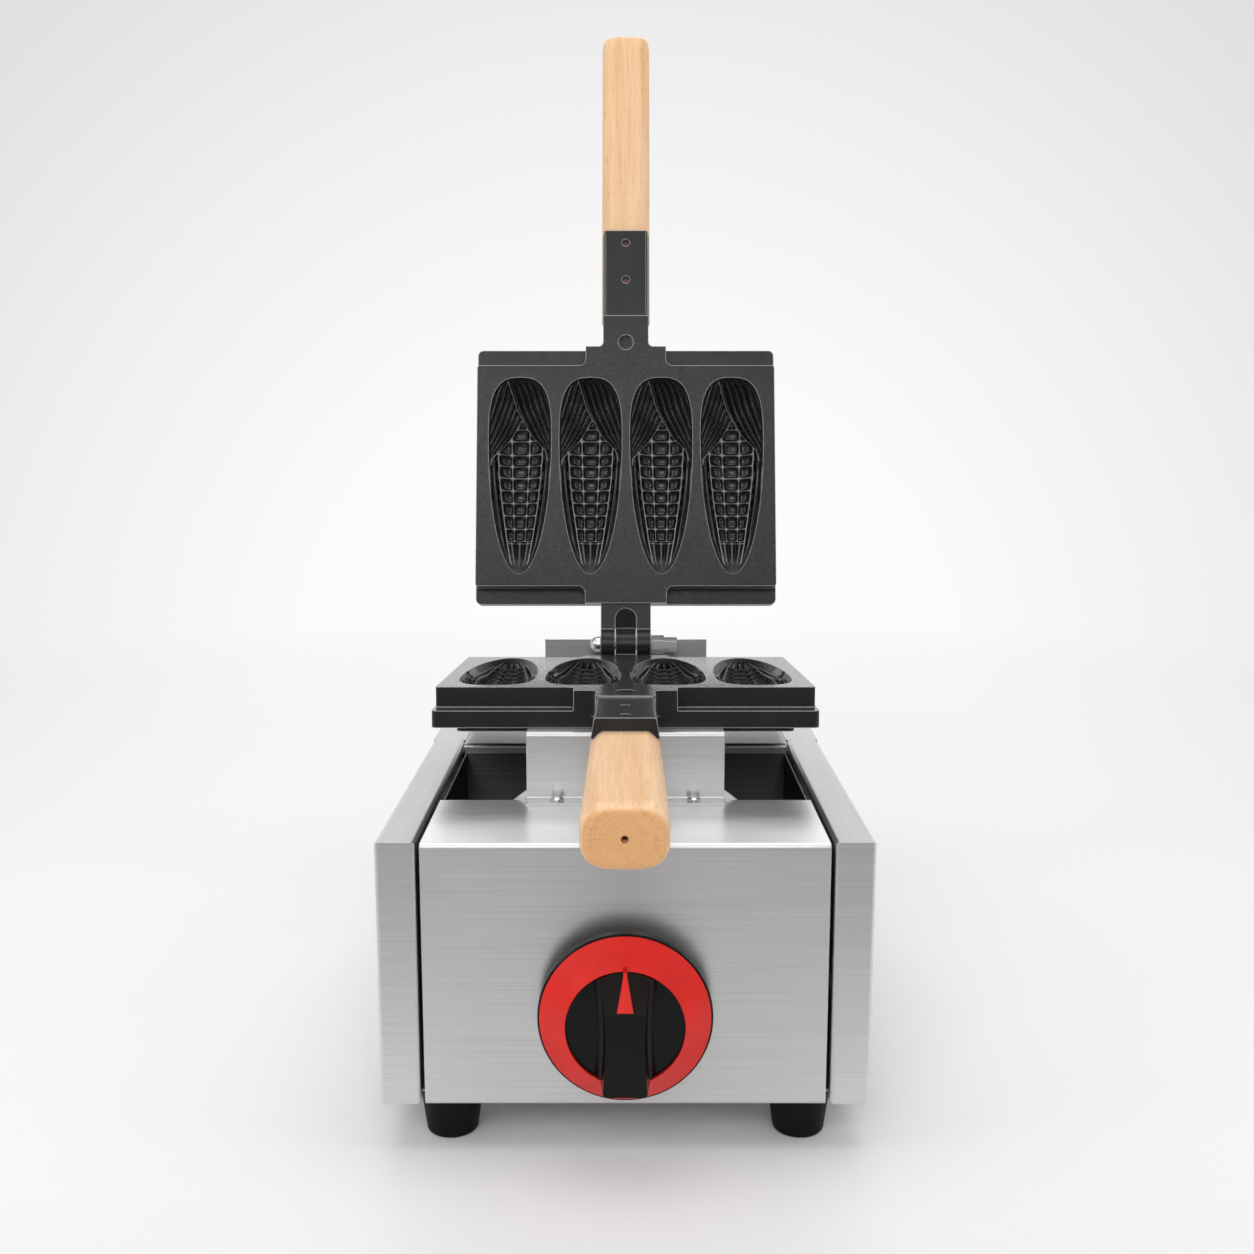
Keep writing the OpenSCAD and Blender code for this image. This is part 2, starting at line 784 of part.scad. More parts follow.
// Tube with a flared mouth at the jet, a closed back end and flame slots across its top
module burner_tube() {
    flare = 8;
    flare_r = tube_r + 3;
    slot_w = 1.2;
    slot_l = 9;
    first = cover_d + 12;
    pitch = (tube_back - 8 - first) / (slot_count - 1);
    color(STEEL) in_housing() translate([0, 0, -tube_drop]) difference() {
        union() {
            rod_y(tube_r, tube_front + flare, tube_back);
            cone_y(flare_r, tube_r, tube_front, tube_front + flare);
        }
        rod_y(tube_r - tube_wall, tube_front + flare, tube_back - 2 * tube_wall);
        cone_y(flare_r - tube_wall, tube_r - tube_wall, tube_front - eps, tube_front + flare + eps);
        for (i = [0 : slot_count - 1]) translate([-slot_l / 2, first + i * pitch, 0]) {
            cube([slot_l, slot_w, tube_r + cut]);
        }
    }
}

module left_burner_tube() {
    translate([-tube_x, 0, 0]) burner_tube();
}

module right_burner_tube() {
    translate([tube_x, 0, 0]) burner_tube();
}

// Upright sheet on the base pan with a saddle under each tube
module burner_rest() {
    rest_foot = 12;
    half = tube_x + 2 * tube_r;
    y = tube_back - rest_foot;
    z0 = floor_z + sheet;
    color(STEEL) in_housing() difference() {
        union() {
            translate([-half, y, z0]) cube([2 * half, sheet, -tube_drop - z0]);
            translate([-half, y - rest_foot + sheet, z0]) cube([2 * half, rest_foot, sheet]);
        }
        at_tubes() rod_y(tube_r + fit, y - cut, y + sheet + cut);
    }
}

// Cross pipe with a boss at each jet and a riser from the valve
module gas_manifold() {
    plug = 4;
    end = tube_x + 12;
    color(BRASS) in_housing() {
        translate([0, manifold_y, -tube_drop]) {
            rod_x(manifold_r, -end, end);
            both_sides() rod_x(manifold_r + 1.5, end, end + plug);
        }
        for (x = [-tube_x, tube_x]) translate([x, manifold_y, -tube_drop]) {
            rod_y(manifold_r + 1, 0, manifold_r + 4);
        }
        translate([0, manifold_y, -knob_drop + valve_r - 1]) {
            cylinder(r = pipe_r, h = knob_drop - tube_drop - valve_r + 1);
        }
    }
}

module jets() {
    hex_r = 5.5;
    tip_r = 2.5;
    orifice = 0.6;
    y0 = manifold_y + manifold_r + 4;
    color(BRASS) in_housing() for (x = [-tube_x, tube_x]) translate([x, 0, -tube_drop]) {
        difference() {
            union() {
                hex_y(hex_r, y0, y0 + jet_len / 2);
                cone_y(hex_r - 1, tip_r, y0 + jet_len / 2, y0 + jet_len);
            }
            rod_y(orifice, y0 + 2, y0 + jet_len + cut);
        }
    }
}

// Body with a threaded neck through the panel, an inlet at its side and the stem's bore
module valve_body() {
    color(BRASS) in_housing() translate([0, 0, -knob_drop]) difference() {
        union() {
            rod_y(neck_r, -neck_out, valve_front);
            rod_y(valve_r, valve_front, valve_back);
            translate([0, inlet_y, 0]) rod_x(valve_r - 3, 0, inlet_len - pipe_r);
            translate([0, inlet_y, 0]) hex_x(valve_r - 2, inlet_len - inlet_nut, inlet_len - pipe_r);
            translate([0, igniter_y, 0]) cylinder(r = 3 * lead_r, h = valve_r + igniter_h);
        }
        rod_y(valve_bore_r, -neck_out - cut, stem_back + push_travel + fit);
        rod_y(plunger_r + bolt_fit, stem_back, stem_back + plunger_len + push_travel + 1);
        translate([0, manifold_y, valve_r - 1]) cylinder(r = pipe_r + fit, h = valve_r);
    }
}

module valve_nut() {
    color(BRASS) in_housing() translate([0, 0, -knob_drop]) difference() {
        hex_y(neck_r + 3.5, -3, 0);
        rod_y(neck_r + bolt_fit, -3 - cut, cut);
    }
}

// Straight along the right channel, then a bend across to the valve
module supply_pipe() {
    bend_y = inlet_y + pipe_bend_r;
    color(BRASS) in_housing() translate([0, 0, -knob_drop]) {
        translate([inlet_x, 0, 0]) rod_y(pipe_r, bend_y, housing_d);
        translate([inlet_x - pipe_bend_r, bend_y, 0]) rotate([0, 0, -90]) {
            rotate_extrude(angle = 90) translate([pipe_bend_r, 0]) circle(pipe_r);
        }
        translate([0, inlet_y, 0]) rod_x(pipe_r, inlet_len - pipe_r, inlet_x - pipe_bend_r);
    }
}

// Nut and plain spigot for a gas hose
module gas_inlet() {
    nut = 7;
    bead = 3;
    color(BRASS) in_housing() translate([inlet_x, 0, -knob_drop]) difference() {
        union() {
            hex_y(spigot_r + 4, housing_d, housing_d + nut);
            rod_y(spigot_r, housing_d + nut, housing_d + spigot_l);
            cone_y(spigot_r, spigot_r + 1, housing_d + nut, housing_d + nut + bead);
        }
        rod_y(spigot_r - 1.8, housing_d + 1, housing_d + spigot_l + cut);
    }
}

// Ceramic rod in a clip on the fire box's front wall, with a bare wire over the right tube
module spark_electrode() {
    clip = [4, 2];
    rod = [3, 19];
    wire = [1, 12];
    inner = cover_d + wall;
    color([0.92, 0.9, 0.85]) in_housing() translate([lead_x, 0, lead_z]) {
        rod_y(lead_r, inner, inner + rod[0]);
        rod_y(clip[0], inner, inner + clip[1]);
        rod_y(rod[0], inner + clip[1], inner + clip[1] + rod[1]);
        rod_y(wire[0], inner + clip[1] + rod[1], inner + clip[1] + rod[1] + wire[1]);
    }
}

// Lead from the igniter on the valve to the electrode
module ignition_lead() {
    bend = 12;
    z0 = valve_r + igniter_h - knob_drop;
    color(BLACK) in_housing() {
        translate([0, igniter_y, z0]) cylinder(r = lead_r, h = lead_z - z0);
        translate([0, igniter_y, lead_z]) sphere(lead_r);
        translate([0, igniter_y, lead_z]) rod_x(lead_r, 0, lead_x - bend);
        translate([lead_x - bend, igniter_y + bend, lead_z]) rotate([0, 0, -90]) {
            rotate_extrude(angle = 90) translate([bend, 0]) circle(lead_r);
        }
        translate([lead_x, 0, lead_z]) rod_y(lead_r, igniter_y + bend, cover_d + wall);
    }
}

// ---------- knob ----------

module at_knob() {
    in_housing() translate([0, 0, -knob_drop]) children();
}

// Slides inside the valve when the knob is pushed in
module valve_plunger() {
    color(STEEL) at_knob() rod_y(plunger_r, stem_back, stem_back + plunger_len);
}

module knob_stem() {
    flat = 1;
    color(STEEL) at_knob() difference() {
        rod_y(stem_r, -stem_out, stem_back);
        translate([-stem_r, -stem_out - cut, stem_r - flat]) {
            cube([2 * stem_r, stem_out - neck_out - push_travel + cut, flat + cut]);
        }
    }
}

// Revolves a profile drawn as (radius, distance in front of the panel) about the knob's axis
module revolve_knob() {
    rotate([90, 0, 0]) rotate_extrude($fn = 96) children();
}

// Hollow skirt, cone under the red ring, dished floor and a hub round the stem
module knob_shell() {
    shell = 3;
    rim = 0.6;
    under = ring_t + fit;
    cone_low = rim_out - under + 1;
    hub_r = stem_r + 5;
    revolve_knob() difference() {
        polygon([[0, knob_gap], [knob_r - rim, knob_gap], [knob_r, knob_gap + rim], [knob_r, rim_out - rim],
            [knob_r - rim, rim_out], [ring_outer_r, rim_out], [ring_outer_r, cone_low],
            [dish_r, floor_out], [0, floor_out]]);
        polygon([[hub_r, knob_gap - cut], [knob_r - shell, knob_gap - cut], [knob_r - shell, cone_low - shell],
            [dish_r, floor_out - shell], [hub_r, floor_out - shell]]);
        translate([0, knob_gap - cut]) square([hub_r + eps, hub_back - knob_gap + cut]);
    }
}

// Bar across the dish: hollow-sided walls on a splayed foot, a lower end with round corners that
// reaches over the ring, and an upper end that slopes down to the ring
module knob_grip() {
    lean = tan(grip_lean);
    ring_clear = dish_out + 0.4;
    over = grip_out - ring_clear;
    wall = grip_out - floor_out;
    half = grip_waist / 2;
    difference() {
        union() {
            difference() {
                union() {
                    grip_disc(ring_clear - floor_out);
                    bar_x(dish_r / 2) polygon([[-ring_clear, -grip_end - over * lean],
                        [-grip_out, -grip_end], [-grip_out, slope_start + cut], [-ring_clear, dish_r]]);
                }
                rotate([90, 0, 0]) both_sides() {
                    grip_flank(half + wall * lean, half - cut * lean, wall + cut);
                    translate([grip_end_w / 2 - grip_corner_r, grip_corner_r - grip_end, ring_clear - eps]) {
                        grip_corner(over + cut, lean);
                    }
                }
            }
            difference() {
                grip_disc(grip_foot);
                rotate([90, 0, 0]) both_sides() {
                    grip_flank(half + wall * lean + grip_foot, half + (wall - grip_foot) * lean, grip_foot + eps);
                }
            }
        }
        translate([0, -grip_out, slope_start]) rotate([-grip_slope, 0, 0]) {
            translate([-knob_r, -knob_r, 0]) cube([2 * knob_r, knob_r, 2 * knob_r]);
        }
    }
}

module grip_disc(h) {
    rod_y(dish_r - 0.4, -floor_out - h, eps - floor_out);
}

// Cone that hollows the right wall over height h, with the half-widths that it leaves there
module grip_flank(low_half, high_half, h) {
    reach = grip_end - grip_corner_r - grip_waist_low;
    r = reach * reach / (grip_end_w - grip_waist);
    x = r + grip_waist / 2;
    translate([x, -grip_waist_low, floor_out]) {
        cylinder(r1 = x - low_half, r2 = x - high_half, h = h, $fn = 192);
    }
}

// What is cut away outside a leaning round corner
module grip_corner(h, lean) {
    r = grip_corner_r + (h - cut) * lean;
    difference() {
        translate([0, -2 * r, 0]) cube([2 * r, 2 * r, h]);
        translate([0, 0, -eps]) cylinder(r1 = r, r2 = grip_corner_r - cut * lean, h = h + 2 * eps);
    }
}

module knob_body() {
    color(BLACK) at_knob() difference() {
        union() {
            knob_shell();
            knob_grip();
        }
        difference() {
            rod_y(stem_r + bolt_fit, -stem_out - fit, 0);
            translate([-knob_r, -stem_out - cut, stem_r - 1 + bolt_fit]) {
                cube([2 * knob_r, stem_out, knob_r]);
            }
        }
    }
}

module knob_ring() {
    top_r = ring_outer_r - fit;
    color(RED) at_knob() revolve_knob() polygon([[top_r, rim_out - ring_t + 1 + fit],
        [top_r, rim_out + 0.3], [dish_r, dish_out], [dish_r, floor_out + fit]]);
}

// Flat triangle on the grip's slope, and a line that runs on from its tip and out over the red ring
module knob_pointer() {
    base = 0.9;
    line_l = 6;
    proud = 0.5;
    end = (dish_r - slope_start) / cos(grip_slope) - 0.3;
    color(RED) at_knob() {
        translate([0, -grip_out, slope_start]) rotate([-grip_slope, 0, 0]) rotate([90, 0, 0]) {
            linear_extrude(proud) {
                polygon([[-pointer_w / 2, base], [pointer_w / 2, base],
                    [line_w / 2, base + pointer_l], [-line_w / 2, base + pointer_l]]);
                translate([-line_w / 2, base + pointer_l - eps]) square([line_w, end - base - pointer_l]);
            }
        }
        translate([0, -dish_out, dish_r]) rotate([atan(ring_slope), 0, 0]) {
            translate([-line_w / 2, -proud - fit, 0.3]) cube([line_w, proud, line_l]);
        }
    }
}

// ---------- moulds ----------

// Half-width of an ear at share u of its length: a blunt husk end and an elliptic tip
function ear_half(u) = let (v = u < ear_belly ? (ear_belly - u) / ear_belly : (u - ear_belly) / (1 - ear_belly))
    ear_w / 2 * (u < ear_belly ? pow(1 - pow(v, 3), 1 / 3) : sqrt(1 - v * v));

// Shares of the length at which the outline is drawn, closer together near both ends
ear_shares = [for (i = [0 : ear_steps]) ear_belly * (1 - cos(90 * i / ear_steps)),
    for (i = [1 : ear_steps]) ear_belly + (1 - ear_belly) * sin(90 * i / ear_steps)];

// Body that hollows one cavity, revolved about an axis above the parting plane
module ear_cutter() {
    translate([0, ear_y + ear_l, ear_axis_up]) rotate([90, 0, 0]) rotate_extrude($fn = 96) {
        polygon(concat([[0, ear_l]], [for (u = ear_shares)
            [sqrt(pow(ear_half(u), 2) + pow(ear_axis_up, 2)), ear_l * (1 - u)]], [[0, 0]]));
    }
}

module at_ears() {
    for (i = [0 : ear_count - 1]) translate([(i - (ear_count - 1) / 2) * ear_pitch, 0, 0]) children();
}

// Solid block of one mould: flange, parting block between the ledges, and the middle land
module mould_block() {
    translate([0, 0, -mould_h]) linear_extrude(mould_h - ledge_h) {
        round_rect([-mould_w / 2, 0], [mould_w / 2, mould_l], corner_r);
    }
    translate([0, 0, -ledge_h - eps]) linear_extrude(ledge_h + face_z + eps) {
        round_rect([-face_w / 2, ledge_front], [face_w / 2, mould_l - ledge_rear], corner_r / 2);
        translate([-land_w / 2, 0]) square([land_w, mould_l]);
        both_sides() translate([land_w / 2, ledge_front]) mirror([0, 1]) inner_round(land_fillet_r);
        both_sides() translate([land_w / 2, mould_l - ledge_rear]) inner_round(land_fillet_r);
    }
}

// Rim and ribs on the outer face
module mould_rim() {
    x = mould_w / 2 - rim_inset;
    y0 = rim_inset + 4;
    y1 = mould_l - rim_inset;
    translate([0, 0, -mould_h - rim_h]) linear_extrude(rim_h + eps) {
        difference() {
            round_rect([-x, y0], [x, y1], corner_r);
            round_rect([-x + rim_wall, y0 + rim_wall], [x - rim_wall, y1 - rim_wall], corner_r / 2);
        }
        for (i = [0 : ear_count - 2]) {
            translate([(i - (ear_count - 2) / 2) * ear_pitch - rim_wall / 3, y0]) {
                square([2 * rim_wall / 3, y1 - y0]);
            }
        }
    }
}

module mould_casting() {
    difference() {
        union() {
            mould_block();
            mould_rim();
            handle_neck();
        }
        at_ears() ear_cutter();
        translate([0, pit_y, face_z - pit_h]) cylinder(r = pit_r, h = pit_h + cut);
    }
    tang();
}

module handle_neck() {
    translate([0, 0, -neck_h]) linear_extrude(neck_h + face_z) {
        translate([-neck_w / 2, -neck_l]) square([neck_w, neck_l + cut]);
        both_sides() translate([neck_w / 2, 0]) mirror([0, 1]) inner_round(neck_fillet_r);
    }
}

// Frame of a handle: -Y runs out along it and Z = 0 is the tang's top face
module at_handle() {
    translate([0, -neck_l, -tang_drop]) rotate([splay, 0, 0]) children();
}

// Cross-section of the wood from the tang's top face down: flats joined by arcs that pass through
// the flats' ends, which leaves a soft arris along each flat
module wood_section(grow) {
    top_end = [wood_flat / 2, wood_h / 2];
    side_end = [wood_w / 2, wood_side / 2];
    chord = side_end - top_end;
    back_off = sqrt(pow(wood_shoulder_r / norm(chord), 2) - 1 / 4);
    centre = (top_end + side_end) / 2 + [chord[1], -chord[0]] * back_off;
    translate([0, -wood_mid]) intersection() {
        square([wood_w + 2 * grow, wood_h + 2 * grow], center = true);
        union() {
            square([wood_flat, 2 * wood_h], center = true);
            square([2 * wood_w, wood_side], center = true);
            for (x = [-centre[0], centre[0]], z = [-centre[1], centre[1]]) {
                translate([x, z]) circle(wood_shoulder_r + grow);
            }
        }
    }
}

// Plate over the wood with skirts that follow its shoulders, and two holes
module tang() {
    top = tang_top_w / 2;
    skirt = tang_skirt_w / 2;
    low = tang_h + skirt_h;
    at_handle() difference() {
        intersection() {
            bar_y(-tang_l, eps) difference() {
                polygon([[-skirt, -low], [skirt, -low], [top, -1], [top - 1, 0], [1 - top, 0], [-top, -1]]);
                wood_section(bolt_fit);
            }
            translate([0, 0, -low - cut]) linear_extrude(low + 2 * cut) {
                round_rect([-skirt, -tang_l], [skirt, 2 * tang_tip_r], tang_tip_r);
            }
        }
        tang_holes(tang_h + cut);
    }
}

module tang_holes(depth) {
    for (i = [0, 1]) translate([0, -tang_l + tang_hole_tip + i * tang_hole_pitch, -depth]) {
        cylinder(r = tang_hole_r, h = depth + cut);
    }
}

// The tip is rounded seen from above, and less so seen from the side
module wooden_handle() {
    color(WOOD) at_handle() difference() {
        intersection() {
            bar_y(-wood_end, -wood_start) wood_section(0);
            translate([0, 0, -wood_low - cut]) linear_extrude(wood_h + 2 * cut) {
                round_rect([-wood_w / 2, -wood_end], [wood_w / 2, 2 * tip_plan_r], tip_plan_r);
            }
            bar_x(wood_w) round_rect([-wood_end, -wood_low], [2 * tip_side_r, -tang_h], tip_side_r);
        }
        tang_holes(tang_h + wood_h + cut);
        for (i = [0, 1]) {
            translate([0, -tang_l + tang_hole_tip + i * tang_hole_pitch, -tang_h - wood_h - cut]) {
                cylinder(r = wood_sink_r, h = wood_sink_h + cut);
            }
        }
        translate([0, 0, -wood_mid]) rod_y(wood_centre_r, -wood_end - cut, -wood_end + 25);
    }
}

// Solid between a mould and its hinge: flat neck below the parting plane
module hinge_neck(half) {
    low = -mould_h + 3;
    translate([-half, mould_l - 4, low]) cube([2 * half, neck_end_y - mould_l + 4, -neck_drop - low]);
}

// Side view of the tongue: block, round eye, heel that stops the lid, and tail for the rear bracket
module tongue_section() {
    low = -mould_h + 3;
    reach = axis_y - neck_end_y;
    heel_back = heel_y + heel_l;
    translate([neck_end_y - cut, low]) square([reach + cut + eye_r, tail_top - low]);
    translate([axis_y, axis_z]) circle(eye_r);
    translate([axis_y, axis_z - eye_r]) square([eye_r, eye_r]);
    translate([axis_y, tail_top - tail_h]) square([tail_tip - axis_y, tail_h]);
    translate([axis_y, axis_z]) polygon([[heel_y, -eye_r], [heel_back, -eye_r],
        [heel_back, stop_z(reach, heel_back)], [heel_y, stop_z(reach, heel_y)]]);
}

// Height above the bolt's axis of the open lid's neck at distance y behind the axis, less the gap
function stop_z(reach, y) = (reach - stop_gap + y * cos(open_angle)) / sin(open_angle);

module lower_hinge() {
    difference() {
        union() {
            hinge_neck(neck_w / 2);
            bar_x(tongue_half) tongue_section();
        }
        translate([0, axis_y, axis_z]) rod_x(bolt_r + bolt_fit, -lugs_w, lugs_w);
    }
}

module lower_mould() {
    color(IRON) in_mould() {
        mould_casting();
        lower_hinge();
    }
}

// Drawn in the same frame as the lower one: neck with a pocket, and two lugs round the bolt
module lid_hinge() {
    up = -axis_z;
    gap = tongue_half + tongue_fit;
    lug_w = lugs_w / 2 - gap;
    pocket_y = mould_l + 3.5;
    deep = 12;
    difference() {
        union() {
            hinge_neck(lugs_w / 2);
            for (x = [-lugs_w / 2, gap]) {
                translate([x, axis_y, up]) rod_x(lug_r, 0, lug_w);
                translate([x, neck_end_y - cut, up - lug_r]) {
                    cube([lug_w, axis_y - neck_end_y + cut, lug_r - neck_drop - up]);
                }
            }
        }
        translate([0, axis_y, up]) rod_x(bolt_r + bolt_fit, -lugs_w, lugs_w);
        intersection() {
            bar_x(gap) polygon([[pocket_y, cut], [pocket_y, -neck_drop - 1], [axis_y, -deep], [axis_y, cut]]);
            translate([0, 0, -2 * deep]) linear_extrude(3 * deep) {
                translate([0, pocket_y + gap]) circle(gap);
                translate([-gap, pocket_y + gap]) square([2 * gap, axis_y - pocket_y - gap]);
            }
        }
    }
}

module upper_mould() {
    color(IRON) in_lid() mirror([0, 0, 1]) {
        mould_casting();
        lid_hinge();
    }
}

module lower_handle() {
    in_mould() wooden_handle();
}

module upper_handle() {
    in_lid() mirror([0, 0, 1]) wooden_handle();
}

// ---------- bolt ----------

module at_axis() {
    in_mould() translate([0, axis_y, axis_z]) children();
}

// Round head on the left, shank through lugs and tongue, thread through both nuts
module hinge_bolt() {
    head_l = 7.5;
    head_r = 5.8;
    left = -lugs_w / 2 - lug_gap;
    right = lugs_w / 2 + lug_gap + nut_l + 3;
    color(STEEL) at_axis() {
        rod_x(bolt_r, left, right);
        translate([left, 0, 0]) rotate([0, -90, 0]) rotate_extrude() {
            intersection() {
                translate([0, head_l - head_r]) circle(head_r);
                square([head_r, head_l]);
            }
            square([head_r, head_l - head_r]);
        }
    }
}

module hinge_nut() {
    x0 = lugs_w / 2 + lug_gap;
    nut_r = 6.6;
    color(STEEL) at_axis() difference() {
        hex_x(nut_r, x0, x0 + nut_l);
        rod_x(bolt_r + bolt_fit, x0 - cut, x0 + nut_l + cut);
    }
}

module hinge_cap_nut() {
    x0 = lugs_w / 2 + lug_gap + nut_l;
    cap_r = 5.2;
    color(STEEL) at_axis() difference() {
        hex_x(cap_r, x0, x0 + cap_l);
        rod_x(bolt_r + bolt_fit, x0 - cut, x0 + 3 + bolt_fit);
    }
}

left_side_channel();
right_side_channel();
front_panel();
rear_cover();
left_rear_cap();
right_rear_cap();
back_panel();
back_panel_screws();
base_pan();
fire_box();
front_left_foot();
front_right_foot();
rear_left_foot();
rear_right_foot();
foot_screws();
front_bracket();
front_bracket_screws();
flame_guard();
rear_bracket();
rear_bracket_screws();
left_burner_tube();
right_burner_tube();
burner_rest();
gas_manifold();
jets();
valve_body();
valve_nut();
supply_pipe();
gas_inlet();
spark_electrode();
ignition_lead();
valve_plunger();
knob_stem();
knob_body();
knob_ring();
knob_pointer();
lower_mould();
lower_handle();
hinge_bolt();
hinge_nut();
hinge_cap_nut();
upper_mould();
upper_handle();
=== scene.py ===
"""Studio model of a gas iron for corn-shaped waffle sticks.

A stainless burner housing on rubber feet carries a hinged pair of cast moulds with
wooden handles. Everything is built in metres in the object's own frame: +X right,
+Y to the back, +Z up, floor at Z = 0.
"""

from __future__ import annotations

import logging
import math
from dataclasses import dataclass
from enum import Enum
from typing import Sequence

import bpy
import numpy as np
from mathutils import Matrix, Vector

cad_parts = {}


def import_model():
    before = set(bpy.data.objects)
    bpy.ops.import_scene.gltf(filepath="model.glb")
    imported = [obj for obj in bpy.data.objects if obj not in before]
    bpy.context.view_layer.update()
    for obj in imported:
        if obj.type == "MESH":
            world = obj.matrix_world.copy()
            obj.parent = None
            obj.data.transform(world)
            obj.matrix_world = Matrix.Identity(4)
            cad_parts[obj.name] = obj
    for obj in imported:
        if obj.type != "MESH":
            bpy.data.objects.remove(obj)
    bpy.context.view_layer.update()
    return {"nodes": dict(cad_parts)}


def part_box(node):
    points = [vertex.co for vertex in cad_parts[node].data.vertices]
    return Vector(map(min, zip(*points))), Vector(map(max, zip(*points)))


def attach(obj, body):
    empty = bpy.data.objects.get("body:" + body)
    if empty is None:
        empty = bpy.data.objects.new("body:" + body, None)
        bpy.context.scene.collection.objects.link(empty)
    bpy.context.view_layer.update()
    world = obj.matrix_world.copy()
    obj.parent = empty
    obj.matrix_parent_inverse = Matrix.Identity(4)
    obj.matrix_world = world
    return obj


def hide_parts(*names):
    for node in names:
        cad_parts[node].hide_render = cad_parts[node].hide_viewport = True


LOG = logging.getLogger("waffle_stick_iron")
MM = 0.001

Rgb = tuple[float, float, float]
Point = tuple[float, float, float]
Span = tuple[float, float]
Socket = bpy.types.NodeSocket
Shell = tuple[np.ndarray, list[list[int]]]

WHITE: Rgb = (1.0, 1.0, 1.0)
EVEN: Point = (1.0, 1.0, 1.0)


class Axis(Enum):
    """Direction of a grain or of a round piece's axis."""

    X = 0
    Y = 1
    Z = 2


class Slot(Enum):
    """Names of material slots, matching the finish names of plastic, cast iron and beech."""

    PLASTIC = "black_plastic"
    IRON = "cast_iron"
    WOOD = "beech"


def tinted(colour: Rgb, factor: float) -> Rgb:
    """Makes a colour lighter or darker, with no channel above 1.

    Args:
        colour: Linear colour.
        factor: What each channel is multiplied by.

    Returns:
        The new colour.
    """
    return tuple(min(1.0, factor * channel) for channel in colour)


# ---------------------------------------------------------------- node sheets


class NodeSheet:
    """Adds and links the nodes of one material or world."""

    # A face counts as square to an axis where its normal's part along it passes this
    SQUARE = 0.7
    # How far the bevelled and the plain normal agree at an edge and on an open face
    EDGE_MATCH: Span = (0.88, 0.995)
    MASK_SAMPLES = 6
    BEVEL_SAMPLES = 4
    # Places of factor, first and second input, and of the output, on a mix of vectors or colours
    VECTOR_MIX = ((0, 4, 5), 1)
    COLOUR_MIX = ((0, 6, 7), 2)

    def __init__(self, owner: bpy.types.Material | bpy.types.World, output: str) -> None:
        """Starts an empty sheet.

        Args:
            owner: Material or world that the nodes belong to.
            output: Blender's type of the output node.
        """
        owner.use_nodes = True
        self.tree = owner.node_tree
        self.tree.nodes.clear()
        self.out = self.add(output)

    def add(self, kind: str, **values: object) -> bpy.types.Node:
        """Adds a node and fills it in.

        Args:
            kind: Blender's node type.
            values: What `fill` takes.

        Returns:
            The new node.
        """
        node = self.tree.nodes.new(kind)
        self.fill(node, **values)
        return node

    def fill(self, node: bpy.types.Node, **values: object) -> None:
        """Sets a node's properties and feeds its inputs.

        Args:
            node: The node.
            values: Property names, or input names with underscores for spaces.
        """
        for key, value in values.items():
            if hasattr(node, key):
                setattr(node, key, value)
            else:
                self.feed(node.inputs[key.replace("_", " ")], value)

    def feed(self, target: Socket, value: Socket | Sequence[float] | float) -> None:
        """Links an input, or sets its value.

        Args:
            target: The input.
            value: Output socket, number, vector or linear colour.
        """
        if isinstance(value, bpy.types.NodeSocket):
            self.tree.links.new(value, target)
        elif target.type == "RGBA":
            target.default_value = (*value, 1.0)
        else:
            target.default_value = value

    def coordinates(self, scale: Point) -> Socket:
        """Object coordinates stretched by a factor along each of the object's axes."""
        place = self.add("ShaderNodeTexCoord").outputs["Object"]
        return self.add("ShaderNodeMapping", Vector=place, Scale=scale).outputs["Vector"]

    def split(self, vector: Socket) -> bpy.types.NodeOutputs:
        """The X, Y and Z parts of a vector."""
        return self.add("ShaderNodeSeparateXYZ", Vector=vector).outputs

    def vector(self, *parts: Socket | float) -> Socket:
        """Vector put together from its X, Y and Z parts."""
        return self.add("ShaderNodeCombineXYZ", **dict(zip("XYZ", parts))).outputs["Vector"]

    def facing(self, axis: Axis) -> Socket:
        """Part of the object's own normal along one of its axes, from -1 to 1."""
        return self.split(self.add("ShaderNodeTexCoord").outputs["Normal"])[axis.value]

    def noise(self, place: Socket | Point, detail: float, scale: float = 1.0) -> Socket:
        """Noise between 0 and 1.

        Args:
            place: Vector to read the noise at, or the stretch of the object's coordinates.
            detail: Number of octaves.
            scale: The noise's own scale.

        Returns:
            The noise value.
        """
        vector = self.coordinates(place) if isinstance(place, tuple) else place
        return self.add("ShaderNodeTexNoise", Vector=vector, Scale=scale, Detail=detail).outputs["Fac"]

    def brushed(self, grain: Axis, fine: float, along: float) -> Socket:
        """Place stretched along a grain; end faces square to the grain take X instead.

        Args:
            grain: Direction of the brush lines.
            fine: Scale across the lines.
            along: Scale along the lines.

        Returns:
            The stretched vector.
        """
        stretch = [fine, fine, fine]
        stretch[grain.value] = along
        plain = self.coordinates(tuple(stretch))
        if grain is Axis.X:
            return plain
        capped = self.coordinates((along, fine, fine))
        square = self.sums("GREATER_THAN", self.sums("ABSOLUTE", self.facing(grain)), self.SQUARE)
        node = self.add("ShaderNodeMix", data_type="VECTOR")
        return self._mix(node, self.VECTOR_MIX, (square, plain, capped))

    def sums(self, operation: str, *values: Socket | float) -> Socket:
        """One step of arithmetic, by Blender's name of the operation."""
        return self._worked("ShaderNodeMath", operation, values)

    def measure(self, operation: str, *values: Socket | Point) -> Socket:
        """One number taken from vectors, by Blender's name of the operation."""
        return self._worked("ShaderNodeVectorMath", operation, values)

    def _worked(self, kind: str, operation: str, values: Sequence[Socket | Point | float]) -> Socket:
        """Adds a node that works out one number.

        Args:
            kind: Blender's node type.
            operation: Blender's name of the operation.
            values: What feeds the inputs, in order.

        Returns:
            The number.
        """
        node = self.add(kind, operation=operation)
        for target, value in zip(node.inputs, values):
            self.feed(target, value)
        return node.outputs["Value"]

